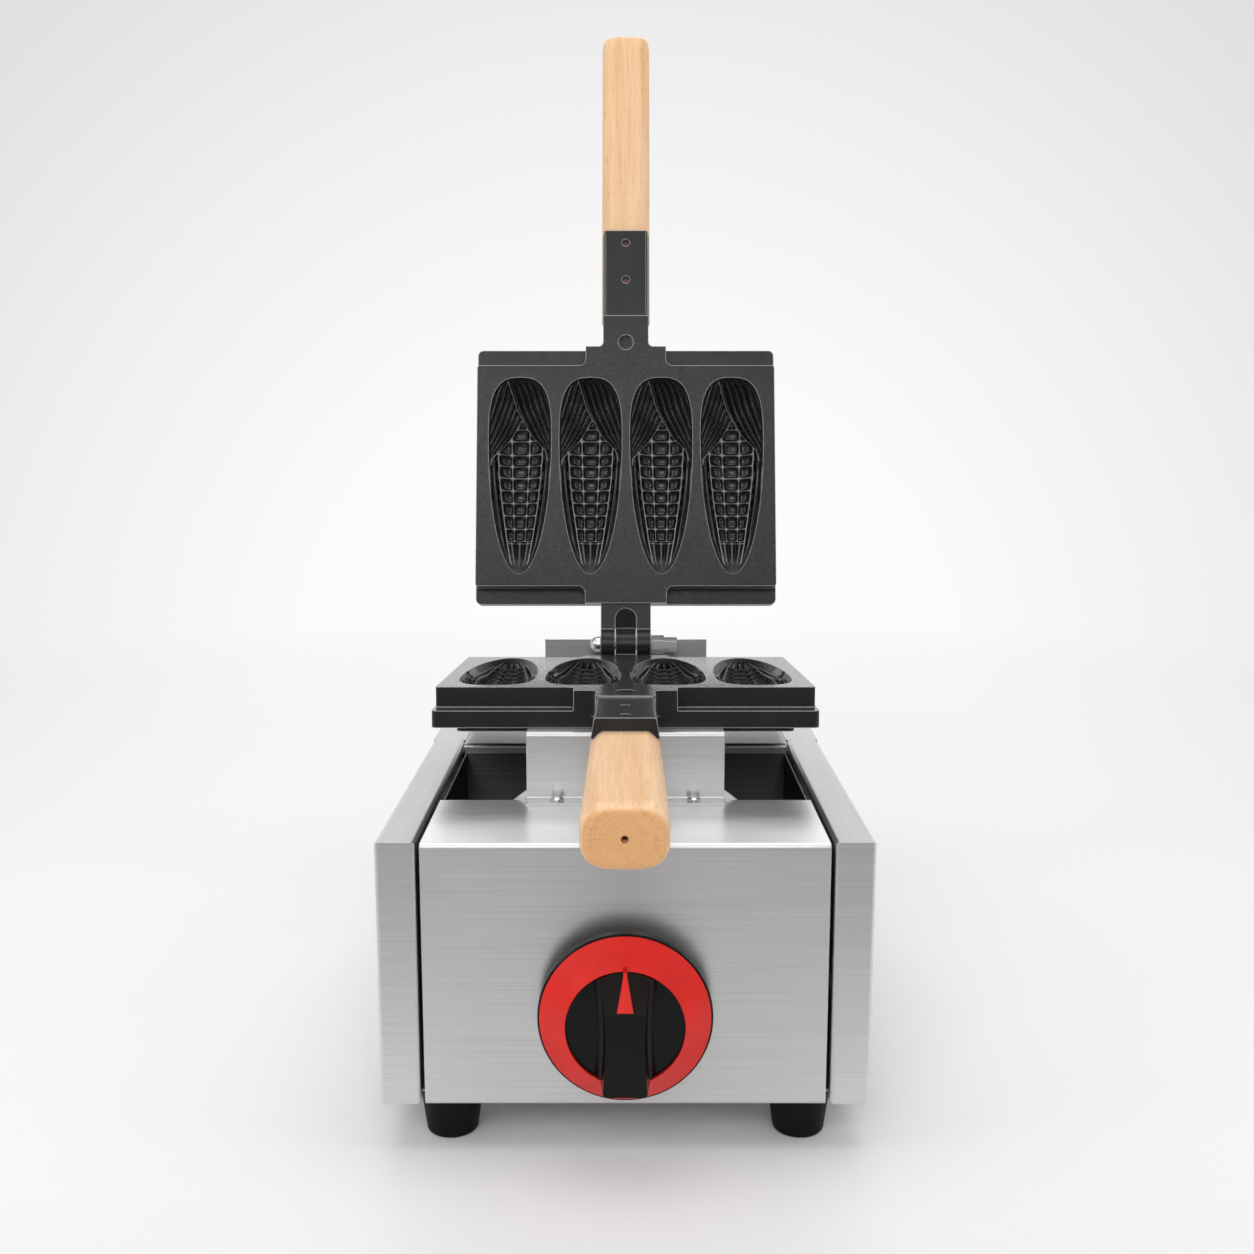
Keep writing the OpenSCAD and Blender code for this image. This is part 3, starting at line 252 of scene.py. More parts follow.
    def weighed(self, first: Socket, second: Socket, share: float) -> Socket:
        """Sum of two values.

        Args:
            first: First value.
            second: Second value.
            share: Weight of the first; the second has what is left to 1.

        Returns:
            The weighed sum.
        """
        return self.sums("ADD", self.sums("MULTIPLY", first, share),
                         self.sums("MULTIPLY", second, 1.0 - share))

    def mixed(self, factor: Socket | float, first: Socket | Rgb, second: Socket | Rgb,
              blend: str = "MIX") -> Socket:
        """Blend of two colours.

        Args:
            factor: Share of the second colour.
            first: Colour or socket.
            second: Colour or socket.
            blend: Blend type.

        Returns:
            The blended colour.
        """
        node = self.add("ShaderNodeMix", data_type="RGBA", blend_type=blend)
        return self._mix(node, self.COLOUR_MIX, (factor, first, second))

    def _mix(self, node: bpy.types.Node, places: tuple[Sequence[int], int],
             values: Sequence[Socket | Rgb | float]) -> Socket:
        """Feeds a mix node.

        Args:
            node: The mix node.
            places: Places of its inputs and of its output.
            values: Factor, first and second value.

        Returns:
            The mix.
        """
        inputs, output = places
        for index, value in zip(inputs, values):
            self.feed(node.inputs[index], value)
        return node.outputs[output]

    def joined_shaders(self, factor: Socket, first: Socket, second: Socket) -> Socket:
        """Mix of two shaders.

        Args:
            factor: Share of the second shader.
            first: First shader.
            second: Second shader.

        Returns:
            The mixed shader.
        """
        node = self.add("ShaderNodeMixShader")
        for target, value in zip(node.inputs, (factor, first, second)):
            self.feed(target, value)
        return node.outputs["Shader"]

    def edges(self, radius: float) -> Socket:
        """Mask of the edges, 0 on open faces and near 1 along an edge.

        Args:
            radius: Reach of the mask in metres.

        Returns:
            The mask.
        """
        bevel = self.add("ShaderNodeBevel", samples=self.MASK_SAMPLES, Radius=radius)
        plain = self.add("ShaderNodeNewGeometry")
        match = self.measure("DOT_PRODUCT", bevel.outputs["Normal"], plain.outputs["Normal"])
        return self.spread(match, 1.0, 0.0, *self.EDGE_MATCH)

    def ramp(self, value: Socket, stops: Sequence[float], colours: Sequence[Rgb]) -> Socket:
        """Colour ramp.

        Args:
            value: Factor socket.
            stops: Positions, in order.
            colours: Linear colour at each position.

        Returns:
            The ramp's colour.
        """
        node = self.add("ShaderNodeValToRGB", Fac=value)
        elements = node.color_ramp.elements
        while len(elements) < len(stops):
            elements.new(0.5)
        for element, place, colour in zip(elements, stops, colours):
            element.position = place
            element.color = (*colour, 1.0)
        return node.outputs["Color"]

    def spread(self, value: Socket, low: float, high: float, start: float = 0.3, end: float = 0.7) -> Socket:
        """Maps a value from start..end to low..high, clamped.

        Args:
            value: Input socket.
            low: Result at start.
            high: Result at end.
            start: Lower end of the input range.
            end: Upper end of the input range.

        Returns:
            The mapped value.
        """
        node = self.add("ShaderNodeMapRange", Value=value, From_Min=start, From_Max=end,
                        To_Min=low, To_Max=high)
        return node.outputs["Result"]

    def surface(self, roughness: float, **inputs: object) -> None:
        """Adds the surface shader and joins it to the output.

        Args:
            roughness: Mean roughness, which holds where no input feeds another.
            inputs: Input names, with underscores for spaces, and what feeds them.
        """
        node = self.add("ShaderNodeBsdfPrincipled", Roughness=roughness)
        self.fill(node, **inputs)
        self.fill(self.out, Surface=node.outputs["BSDF"])

    def bump(self, height: Socket, strength: float, distance: float, edge: float = 0.0) -> Socket:
        """Normal with relief, and with soft edges where a radius is given.

        Args:
            height: Height socket.
            strength: Strength of the relief.
            distance: Height of the relief in metres.
            edge: Radius of the softened edges in metres.

        Returns:
            The normal.
        """
        node = self.add("ShaderNodeBump", Strength=strength, Distance=distance, Height=height)
        if edge > 0.0:
            bevel = self.add("ShaderNodeBevel", samples=self.BEVEL_SAMPLES, Radius=edge)
            self.fill(node, Normal=bevel.outputs["Normal"])
        return node.outputs["Normal"]


# ---------------------------------------------------------------- finishes


@dataclass(frozen=True)
class Finish:
    """What every finish has: a name, a linear colour and a mean roughness."""

    name: str
    colour: Rgb
    roughness: float

    def dress(self, sheet: NodeSheet) -> None:
        """Builds the finish's nodes on a sheet."""
        raise NotImplementedError(self.name)


@dataclass(frozen=True)
class BrushedSteel(Finish):
    """Sheet steel with fine parallel brush lines; scales are given across and along them."""

    grain: Axis = Axis.X
    line_depth: float = 0.07
    contrast: float = 0.065
    fold: float = 0.0006
    anisotropy: float = 0.75
    lines: Span = (2300.0, 11.0)
    bands: Span = (620.0, 4.0)
    clouds: Point = (9.0, 9.0, 9.0)
    line_share: float = 0.78
    cloud_share: float = 0.7
    tone_stops: Span = (0.36, 0.64)
    polish_swing: float = 0.05
    relief: float = 0.0001
    tangent: float = 0.7

    def dress(self, sheet: NodeSheet) -> None:
        """Builds brush lines, broader bands and a slow drift of the polish.

        Args:
            sheet: Where the nodes go.
        """
        lines = sheet.noise(sheet.brushed(self.grain, *self.lines), detail=3.0)
        bands = sheet.noise(sheet.brushed(self.grain, *self.bands), detail=2.0)
        cloud = sheet.noise(self.clouds, detail=2.0)
        tones = (tinted(self.colour, 1.0 - self.contrast), tinted(self.colour, 1.0 + self.contrast))
        streaks = sheet.weighed(lines, bands, self.line_share)
        polish = sheet.weighed(cloud, bands, self.cloud_share)
        # Light spreads across the brush lines
        across = [self.tangent] * 3
        across[self.grain.value] = 0.0
        sheet.surface(
            self.roughness,
            Metallic=1.0,
            Base_Color=sheet.ramp(streaks, self.tone_stops, tones),
            Roughness=sheet.spread(polish, self.roughness - self.polish_swing,
                                   self.roughness + self.polish_swing),
            Anisotropic=self.anisotropy,
            Tangent=sheet.vector(*across),
            Normal=sheet.bump(lines, self.line_depth, self.relief, self.fold),
        )


@dataclass(frozen=True)
class CastIron(Finish):
    """Sand-cast iron with a dark coat. Its edges, or a carving's crests and rim, are painted paler for the
    rubbed coat and as a painted highlight; a carving's hollows are darkened for seasoning and as painted
    shade.
    """

    carved: bool = False
    wear_and_highlight: Rgb = (0.50, 0.50, 0.505)
    seasoning_and_shade: Rgb = (0.0015, 0.0015, 0.0016)
    ground: Rgb = (0.18, 0.18, 0.182)
    pits: float = 0.17
    sheen: float = 0.40
    grain_scale: float = 1100.0
    patch_scale: float = 42.0
    polish_scale: float = 420.0
    patch_share: float = 0.55
    tone_stops: Span = (0.36, 0.66)
    tone_factors: Span = (0.8, 1.9)
    edge_reach: float = 0.0010
    ground_metal: float = 0.9
    ground_facing: Span = (0.97, 0.995)
    ground_polish: float = 0.19
    hollow_end: float = 0.6
    crest_wear_and_highlight: float = 0.45
    crest_span: Span = (0.74, 0.97)
    relief: float = 0.0003
    fold: float = 0.0006

    def dress(self, sheet: NodeSheet) -> None:
        """Builds the sandy grain, its dark coat, the paler edges or crests (rubbed coat and painted
        highlight) and a carving's darker hollows (seasoning and painted shade).

        Args:
            sheet: Where the nodes go.
        """
        grain = sheet.noise(EVEN, detail=4.0, scale=self.grain_scale)
        patch = sheet.noise(EVEN, detail=3.0, scale=self.patch_scale)
        polish = sheet.noise(EVEN, detail=3.0, scale=self.polish_scale)
        # Deeper pits leave a more uneven polish
        swing = self.pits / 3.0
        rough = sheet.spread(polish, self.roughness - swing, self.roughness + swing)
        tones = [tinted(self.colour, factor) for factor in self.tone_factors]
        base = sheet.ramp(sheet.weighed(patch, grain, self.patch_share), self.tone_stops, tones)
        metal: Socket | float = 0.0
        if self.carved:
            crest = sheet.add("ShaderNodeAttribute", attribute_name="crest").outputs["Fac"]
            # Hollows are darkened: partly seasoning, partly painted shade
            base = sheet.mixed(sheet.spread(crest, 1.0, 0.0, 0.0, self.hollow_end), base, self.seasoning_and_shade)
            # Crests and the rim are painted paler: partly rubbed coat, partly painted highlight
            wear_and_highlight_mask = sheet.spread(crest, 0.0, self.crest_wear_and_highlight, *self.crest_span)
        else:
            # Edges, hollow ones as well, are painted paler: partly rubbed coat, partly painted highlight
            wear_and_highlight_mask = sheet.edges(self.edge_reach)
            # Faces ground flat shine where light grazes them
            metal = sheet.spread(sheet.facing(Axis.Z), 0.0, self.ground_metal, *self.ground_facing)
            base = sheet.mixed(metal, base, self.ground)
            rough = sheet.sums("SUBTRACT", rough, sheet.sums("MULTIPLY", metal, self.ground_polish))
        sheet.surface(
            self.roughness,
            Metallic=metal,
            Base_Color=sheet.mixed(wear_and_highlight_mask, base, self.wear_and_highlight),
            Roughness=rough,
            Specular_IOR_Level=self.sheen,
            Normal=sheet.bump(grain, self.pits, self.relief, 0.0 if self.carved else self.fold),
        )


@dataclass(frozen=True)
class Beech(Finish):
    """Pale close-grained wood whose grain runs along the object's own Y axis.

    The end grain is laid out in millimetres about the pith, which lies below the
    object's origin.
    """

    late: Rgb = (0.78, 0.465, 0.235)
    end: Rgb = (0.80, 0.43, 0.19)
    fleck: Rgb = (0.56, 0.27, 0.10)
    pith_tone: Rgb = (0.08, 0.025, 0.01)
    pith: float = 1.25
    pith_below: float = 19.85
    pith_fade: float = 0.5
    figure_scale: Point = (130.0, 6.0, 80.0)
    figure_stops: Point = (0.28, 0.52, 0.78)
    fibre_scale: Point = (1300.0, 22.0, 1300.0)
    fibre_stops: Span = (0.3, 0.6)
    fibre_tone: Rgb = (0.88, 0.83, 0.78)
    fibre_share: float = 0.8
    fibre_depth: float = 0.08
    fleck_scale: Point = (900.0, 110.0, 420.0)
    fleck_span: Span = (0.62, 0.76)
    fleck_share: float = 0.5
    ray_scale: Span = (17.0, 0.2)
    ray_stops: Span = (0.30, 0.46)
    ray_tone: Rgb = (0.86, 0.74, 0.62)
    ring_scale: Span = (0.5, 1.5)
    ring_stops: Span = (0.3, 0.7)
    end_facing: Span = (0.55, 0.9)
    bright: float = 1.07
    dull: float = 0.93
    relief: float = 0.0002
    fold: float = 0.0006

    def dress(self, sheet: NodeSheet) -> None:
        """Builds the long grain, and the end grain on faces square to it.

        Args:
            sheet: Where the nodes go.
        """
        fibre = sheet.noise(self.fibre_scale, detail=2.0)
        square = sheet.spread(sheet.sums("ABSOLUTE", sheet.facing(Axis.Y)), 0.0, 1.0, *self.end_facing)
        colour = sheet.mixed(square, self._long_grain(sheet, fibre), self._end_grain(sheet))
        sheet.surface(self.roughness, Metallic=0.0, Base_Color=colour,
                      Normal=sheet.bump(fibre, self.fibre_depth, self.relief, self.fold))

    def _long_grain(self, sheet: NodeSheet, fibre: Socket) -> Socket:
        """Figure, fibres and short dark flecks along the wood.

        Args:
            sheet: Where the nodes go.
            fibre: Noise of the fibres.

        Returns:
            The colour.
        """
        figure = sheet.noise(self.figure_scale, detail=3.0)
        flecks = sheet.noise(self.fleck_scale, detail=1.0)
        base = sheet.ramp(figure, self.figure_stops,
                          (self.late, self.colour, tinted(self.colour, self.bright)))
        fine = sheet.ramp(fibre, self.fibre_stops, (self.fibre_tone, WHITE))
        shade = sheet.mixed(self.fibre_share, base, fine, "MULTIPLY")
        return sheet.mixed(sheet.spread(flecks, 0.0, self.fleck_share, *self.fleck_span), shade, self.fleck)

    def _end_grain(self, sheet: NodeSheet) -> Socket:
        """Rays and rings about the pith.

        Args:
            sheet: Where the nodes go.

        Returns:
            The colour.
        """
        place = sheet.split(sheet.coordinates((1.0 / MM, 1.0 / MM, 1.0 / MM)))
        across, up = place["X"], sheet.sums("ADD", place["Z"], self.pith_below)
        turn = sheet.sums("ARCTAN2", across, up)
        reach = sheet.sums("SQRT", sheet.sums("ADD", sheet.sums("MULTIPLY", across, across),
                                              sheet.sums("MULTIPLY", up, up)))
        rays, rings = (
            sheet.noise(sheet.vector(sheet.sums("MULTIPLY", turn, scale[0]),
                                     sheet.sums("MULTIPLY", reach, scale[1])), detail)
            for scale, detail in ((self.ray_scale, 3.0), (self.ring_scale, 2.0)))
        ringed = sheet.ramp(rings, self.ring_stops,
                            (tinted(self.end, self.dull), tinted(self.end, self.bright)))
        rayed = sheet.ramp(rays, self.ray_stops, (self.ray_tone, WHITE))
        end = sheet.mixed(1.0, ringed, rayed, "MULTIPLY")
        dot = sheet.spread(reach, 1.0, 0.0, self.pith, self.pith + self.pith_fade)
        return sheet.mixed(dot, end, self.pith_tone)


@dataclass(frozen=True)
class Moulded(Finish):
    """Moulded plastic, rubber or glaze with a faint surface texture."""

    texture: float = 0.05
    coat: float = 0.0
    sheen: float = 0.5
    grain_scale: float = 1400.0
    cloud_scale: float = 60.0
    tone_stops: Span = (0.3, 0.7)
    tone_factors: Span = (0.92, 1.06)
    polish_swing: float = 0.03
    coat_roughness: float = 0.10
    relief: float = 0.0001
    fold: float = 0.0005

    def dress(self, sheet: NodeSheet) -> None:
        """Builds a cloudy tone under a fine grain.

        Args:
            sheet: Where the nodes go.
        """
        grain = sheet.noise(EVEN, detail=2.0, scale=self.grain_scale)
        cloud = sheet.noise(EVEN, detail=2.0, scale=self.cloud_scale)
        tones = [tinted(self.colour, factor) for factor in self.tone_factors]
        sheet.surface(
            self.roughness,
            Metallic=0.0,
            Base_Color=sheet.ramp(cloud, self.tone_stops, tones),
            Roughness=sheet.spread(cloud, self.roughness - self.polish_swing,
                                   self.roughness + self.polish_swing),
            Specular_IOR_Level=self.sheen,
            Coat_Weight=self.coat,
            Coat_Roughness=self.coat_roughness,
            Normal=sheet.bump(grain, self.texture, self.relief, self.fold),
        )


@dataclass(frozen=True)
class Turned(Finish):
    """Machined metal with a slight tone variation and fine turning rings about X."""

    stain: Rgb = (0.5, 0.5, 0.5)
    patch_scale: float = 60.0
    patch_stops: Span = (0.3, 0.62)
    ring_scale: Point = (1500.0, 60.0, 60.0)
    duller: float = 0.08
    brighter: float = 0.04
    ring_depth: float = 0.02
    relief: float = 0.0001
    fold: float = 0.0003

    def dress(self, sheet: NodeSheet) -> None:
        """Builds stained patches and turning rings.

        Args:
            sheet: Where the nodes go.
        """
        patch = sheet.noise(EVEN, detail=2.0, scale=self.patch_scale)
        rings = sheet.noise(self.ring_scale, detail=2.0)
        sheet.surface(
            self.roughness,
            Metallic=1.0,
            Base_Color=sheet.ramp(patch, self.patch_stops, (self.stain, self.colour)),
            Roughness=sheet.spread(patch, self.roughness + self.duller, self.roughness - self.brighter),
            Normal=sheet.bump(rings, self.ring_depth, self.relief, self.fold),
        )


class FinishShop:
    """Turns finishes into node materials, each made once."""

    def __init__(self) -> None:
        """Starts with no materials made."""
        self._made: dict[str, bpy.types.Material] = {}

    def get(self, finish: Finish) -> bpy.types.Material:
        """Material of a finish.

        Args:
            finish: The finish.

        Returns:
            The material.
        """
        if finish.name not in self._made:
            material = bpy.data.materials.new(finish.name)
            finish.dress(NodeSheet(material, "ShaderNodeOutputMaterial"))
            self._made[finish.name] = material
        return self._made[finish.name]


PANEL_STEEL = BrushedSteel("brushed_steel_across", (0.69, 0.69, 0.69), 0.33)
# Darker copy of the panel steel for the front bracket and flame guard: painted shade
SHADED_BRACKET_STEEL = BrushedSteel("brushed_steel_painted_shade", (0.58, 0.58, 0.58), 0.33)
CHANNEL_STEEL = BrushedSteel("brushed_steel_lengthwise", (0.72, 0.72, 0.72), 0.33, Axis.Y)
TUBE_STEEL = BrushedSteel("drawn_tube_steel", (0.45, 0.44, 0.42), 0.4, Axis.Y,
                          line_depth=0.05, contrast=0.07, fold=0.0003)
HEAT_STEEL = BrushedSteel("heat_darkened_steel", (0.17, 0.165, 0.16), 0.5,
                          line_depth=0.05, contrast=0.20, fold=0.0003)
SCREW_STEEL = Turned("bright_screw_steel", (0.72, 0.72, 0.71), 0.22)
ZINC = Turned("zinc_plated_steel", (0.92, 0.92, 0.91), 0.30, stain=(0.84, 0.84, 0.84))
BRASS = Turned("machined_brass", (0.62, 0.42, 0.16), 0.28, stain=(0.40, 0.25, 0.10))
IRON = CastIron("cast_iron", (0.0070, 0.0071, 0.0074), 0.36)
CARVED_IRON = CastIron("cast_iron_relief", (0.0048, 0.0049, 0.0051), 0.27, carved=True, pits=0.04,
                       sheen=0.60)
# Darker copy of the carved iron for the lower mould's cavities, with dimmer crests: painted shade
PAINTED_SHADE_IRON = CastIron("painted_shade_iron_relief", (0.0012, 0.0012, 0.0013), 0.25, carved=True, pits=0.03,
                      sheen=0.22, wear_and_highlight=(0.10, 0.10, 0.102), seasoning_and_shade=(0.0006, 0.0006, 0.0006))
BEECH = Beech("beech", (0.86, 0.57, 0.33), 0.42)
RUBBER = Moulded("black_rubber", (0.005, 0.005, 0.0054), 0.5, texture=0.10, sheen=0.12)
PLASTIC = Moulded("black_plastic", (0.0028, 0.0028, 0.0031), 0.25, texture=0.10, sheen=0.22)
RED = Moulded("red_plastic", (0.72, 0.015, 0.009), 0.34, texture=0.02, sheen=0.32)
SLEEVE = Moulded("black_silicone_sleeve", (0.014, 0.014, 0.014), 0.4)
CERAMIC = Moulded("glazed_ceramic", (0.80, 0.78, 0.70), 0.2, texture=0.02, coat=0.3)

FRAME_FINISHES: tuple[tuple[Finish, tuple[str, ...]], ...] = (
    (CHANNEL_STEEL, ("left_side_channel", "right_side_channel", "left_rear_cap", "right_rear_cap")),
    (PANEL_STEEL, ("front_panel", "rear_cover", "back_panel", "base_pan", "rear_bracket")),
    (SHADED_BRACKET_STEEL, ("front_bracket", "flame_guard")),
    (SCREW_STEEL, ("back_panel_screws", "foot_screws", "front_bracket_screws", "rear_bracket_screws")),
    (HEAT_STEEL, ("fire_box", "burner_rest")),
    (TUBE_STEEL, ("left_burner_tube", "right_burner_tube")),
    (RUBBER, ("front_left_foot", "front_right_foot", "rear_left_foot", "rear_right_foot")),
    (BRASS, ("gas_manifold", "jets", "valve_body", "valve_nut", "supply_pipe", "gas_inlet")),
    (CERAMIC, ("spark_electrode",)),
    (SLEEVE, ("ignition_lead",)),
    (ZINC, ("valve_plunger", "knob_stem", "hinge_bolt", "hinge_nut", "hinge_cap_nut")),
    (PLASTIC, ("knob_body",)),
    (RED, ("knob_ring", "knob_pointer")),
    (IRON, ("lower_mould", "upper_mould")),
    (BEECH, ("lower_handle", "upper_handle")),
)


# ---------------------------------------------------------------- layout


@dataclass(frozen=True)
class Layout:
    """Places that the pieces share, in metres."""

    front_y: float
    top_z: float
    mould_y: float = 93.2 * MM
    mould_z: float = 58.0 * MM
    slope: float = math.radians(4.14)
    axis_y: float = 217.2 * MM
    axis_z: float = 4.5 * MM
    open_angle: float = math.radians(99.64)
    neck: float = 23.0 * MM
    drop: float = 1.0 * MM
    splay: float = math.radians(1.26)

    @property
    def mould(self) -> Matrix:
        """Frame of the lower mould: Y from the handle edge, Z from the parting plane."""
        edge = Matrix.Translation((0.0, self.front_y + self.mould_y, self.top_z + self.mould_z))
        return edge @ Matrix.Rotation(-self.slope, 4, "X")

    @property
    def lid(self) -> Matrix:
        """Frame of the opened upper mould, whose Z points into its own parting face's hollow side."""
        axis = Matrix.Translation((0.0, self.axis_y, self.axis_z))
        return self.mould @ axis @ Matrix.Rotation(-self.open_angle, 4, "X") @ axis.inverted()

    @property
    def handle(self) -> Matrix:
        """Frame of a handle within a mould: -Y runs out along it, Z = 0 is the tang's top."""
        return Matrix.Translation((0.0, -self.neck, -self.drop)) @ Matrix.Rotation(self.splay, 4, "X")


def layout_from_frame() -> Layout:
    """Reads the shared places off the fixed frame.

    Returns:
        The layout.
    """
    low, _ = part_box("front_panel")
    _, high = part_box("right_side_channel")
    return Layout(front_y=low.y, top_z=high.z)


# ---------------------------------------------------------------- mesh tools


def add_object(name: str, data: bpy.types.ID) -> bpy.types.Object:
    """Puts an object into the scene.

    Args:
        name: Plain-word name of the object.
        data: Its mesh, light or camera.

    Returns:
        The object.
    """
    made = bpy.data.objects.new(name, data)
    bpy.context.scene.collection.objects.link(made)
    return made


def mesh_data(name: str, points: np.ndarray, faces: Sequence[Sequence[int]]) -> bpy.types.Mesh:
    """Makes a mesh.

    Args:
        name: Plain-word name of the mesh.
        points: N by 3 array in metres.
        faces: Vertex numbers of each face.

    Returns:
        The mesh.
    """
    data = bpy.data.meshes.new(name)
    data.from_pydata([tuple(map(float, p)) for p in points], [], [list(map(int, f)) for f in faces])
    data.validate()
    data.update()
    return data


@dataclass(frozen=True)
class Smith:
    """Builds mesh objects and puts them on their bodies."""

    shop: FinishShop

    def mesh(self, name: str, shell: Shell, finish: Finish, place: Matrix,
             smooth: float = 35.0) -> bpy.types.Object:
        """Makes one mesh object.

        Args:
            name: Plain-word name of the piece.
            shell: Points in metres and faces.
            finish: Finish of the piece.
            place: Frame to put the object in.
            smooth: Edges flatter than this angle, in degrees, are shaded smooth.

        Returns:
            The object.
        """
        made = add_object(name, mesh_data(name, *shell))
        made.data.materials.append(self.shop.get(finish))
        self.soften(made, smooth)
        made.matrix_world = place
        return made

    @staticmethod
    def soften(made: bpy.types.Object, angle: float) -> None:
        """Shades an object smooth up to an angle.

        Args:
            made: Mesh object.
            angle: Limit in degrees.
        """
        data = made.data
        data.polygons.foreach_set("use_smooth", [True] * len(data.polygons))
        limit = math.cos(math.radians(angle))
        normals = np.empty(len(data.polygons) * 3, np.float32)
        data.polygons.foreach_get("normal", normals)
        normals = normals.reshape(-1, 3)
        sides: dict[int, list[int]] = {}
        for polygon in data.polygons:
            for loop in range(polygon.loop_start, polygon.loop_start + polygon.loop_total):
                sides.setdefault(data.loops[loop].edge_index, []).append(polygon.index)
        sharp = np.zeros(len(data.edges), bool)
        for edge, pair in sides.items():
            if len(pair) == 2 and float(normals[pair[0]] @ normals[pair[1]]) < limit:
                sharp[edge] = True
        attribute = data.attributes.get("sharp_edge") or data.attributes.new("sharp_edge", "BOOLEAN", "EDGE")
        attribute.data.foreach_set("value", sharp)

    @staticmethod
    def carve(made: bpy.types.Object, cutter: bpy.types.Object, angle: float) -> None:
        """Cuts one solid out of another for good.

        Args:
            made: Mesh object to be cut.
            cutter: Solid to take away, which is removed afterwards.
            angle: Edges flatter than this, in degrees, are shaded smooth.
        """
        step = made.modifiers.new("cut", "BOOLEAN")
        step.operation = "DIFFERENCE"
        step.solver = "EXACT"
        step.object = cutter
        bpy.context.view_layer.update()
        graph = bpy.context.evaluated_depsgraph_get()
        carved = bpy.data.meshes.new_from_object(made.evaluated_get(graph))
        made.modifiers.remove(step)
        made.data = carved
        bpy.data.objects.remove(cutter)
        Smith.soften(made, angle)

    @staticmethod
    def ride(made: bpy.types.Object, body: str, slot: Slot, stands_for: str | None = None) -> None:
        """Fixes a piece to its body.

        Args:
            made: The piece.
            body: Name of the body that it moves with.
            slot: Not used.
            stands_for: Frame node that it is shown in place of.
        """
        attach(made, body)
        if stands_for is not None:
            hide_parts(stands_for)
        LOG.info("built %s", made.name)


def tube_walls(rows: int, count: int) -> list[list[int]]:
    """Four-sided faces between closed rows of points.

    Args:
        rows: Number of rows.
        count: Number of points in a row.

    Returns:
        The faces, row after row.
    """
    faces: list[list[int]] = []
    for low in range(0, (rows - 1) * count, count):
        high = low + count
        for i in range(count):
            j = (i + 1) % count
            faces.append([low + i, low + j, high + j, high + i])
    return faces


def lathe(profile: Sequence[Span], steps: int, axis: Axis) -> Shell:
    """Revolves a profile of (radius, distance along the axis), both in millimetres.

    Args:
        profile: Points of the profile; a radius of 0 closes the end.
        steps: Number of steps round.
        axis: The axis.

    Returns:
        Points in metres and faces.
    """
    order = {Axis.X: (2, 0, 1), Axis.Y: (0, 2, 1), Axis.Z: (0, 1, 2)}[axis]
    turns = 2.0 * np.pi * np.arange(steps) / steps
    rows = [np.stack([r * MM * np.cos(turns), r * MM * np.sin(turns), np.full(steps, h * MM)], 1)
            for r, h in profile]
    return np.concatenate(rows)[:, order], tube_walls(len(rows), steps)


def loft(rings: Sequence[np.ndarray]) -> Shell:
    """Joins closed rings of the same number of points and caps both ends.

    Args:
        rings: Each an N by 3 array.

    Returns:
        Points and faces.
    """
    count = len(rings[0])
    last = (len(rings) - 1) * count
    caps = [list(range(count))[::-1], [last + i for i in range(count)]]
    return np.concatenate(rings), tube_walls(len(rings), count) + caps


def gathered(shells: Sequence[Shell]) -> Shell:
    """Puts several shells into one.

    Args:
        shells: Points and faces of each.

    Returns:
        Points and faces of all of them.
    """
    faces: list[list[int]] = []
    count = 0
    for points, own in shells:
        faces.extend([[count + k for k in face] for face in own])
        count += len(points)
    return np.concatenate([points for points, _ in shells]), faces


# ---------------------------------------------------------------- moulds


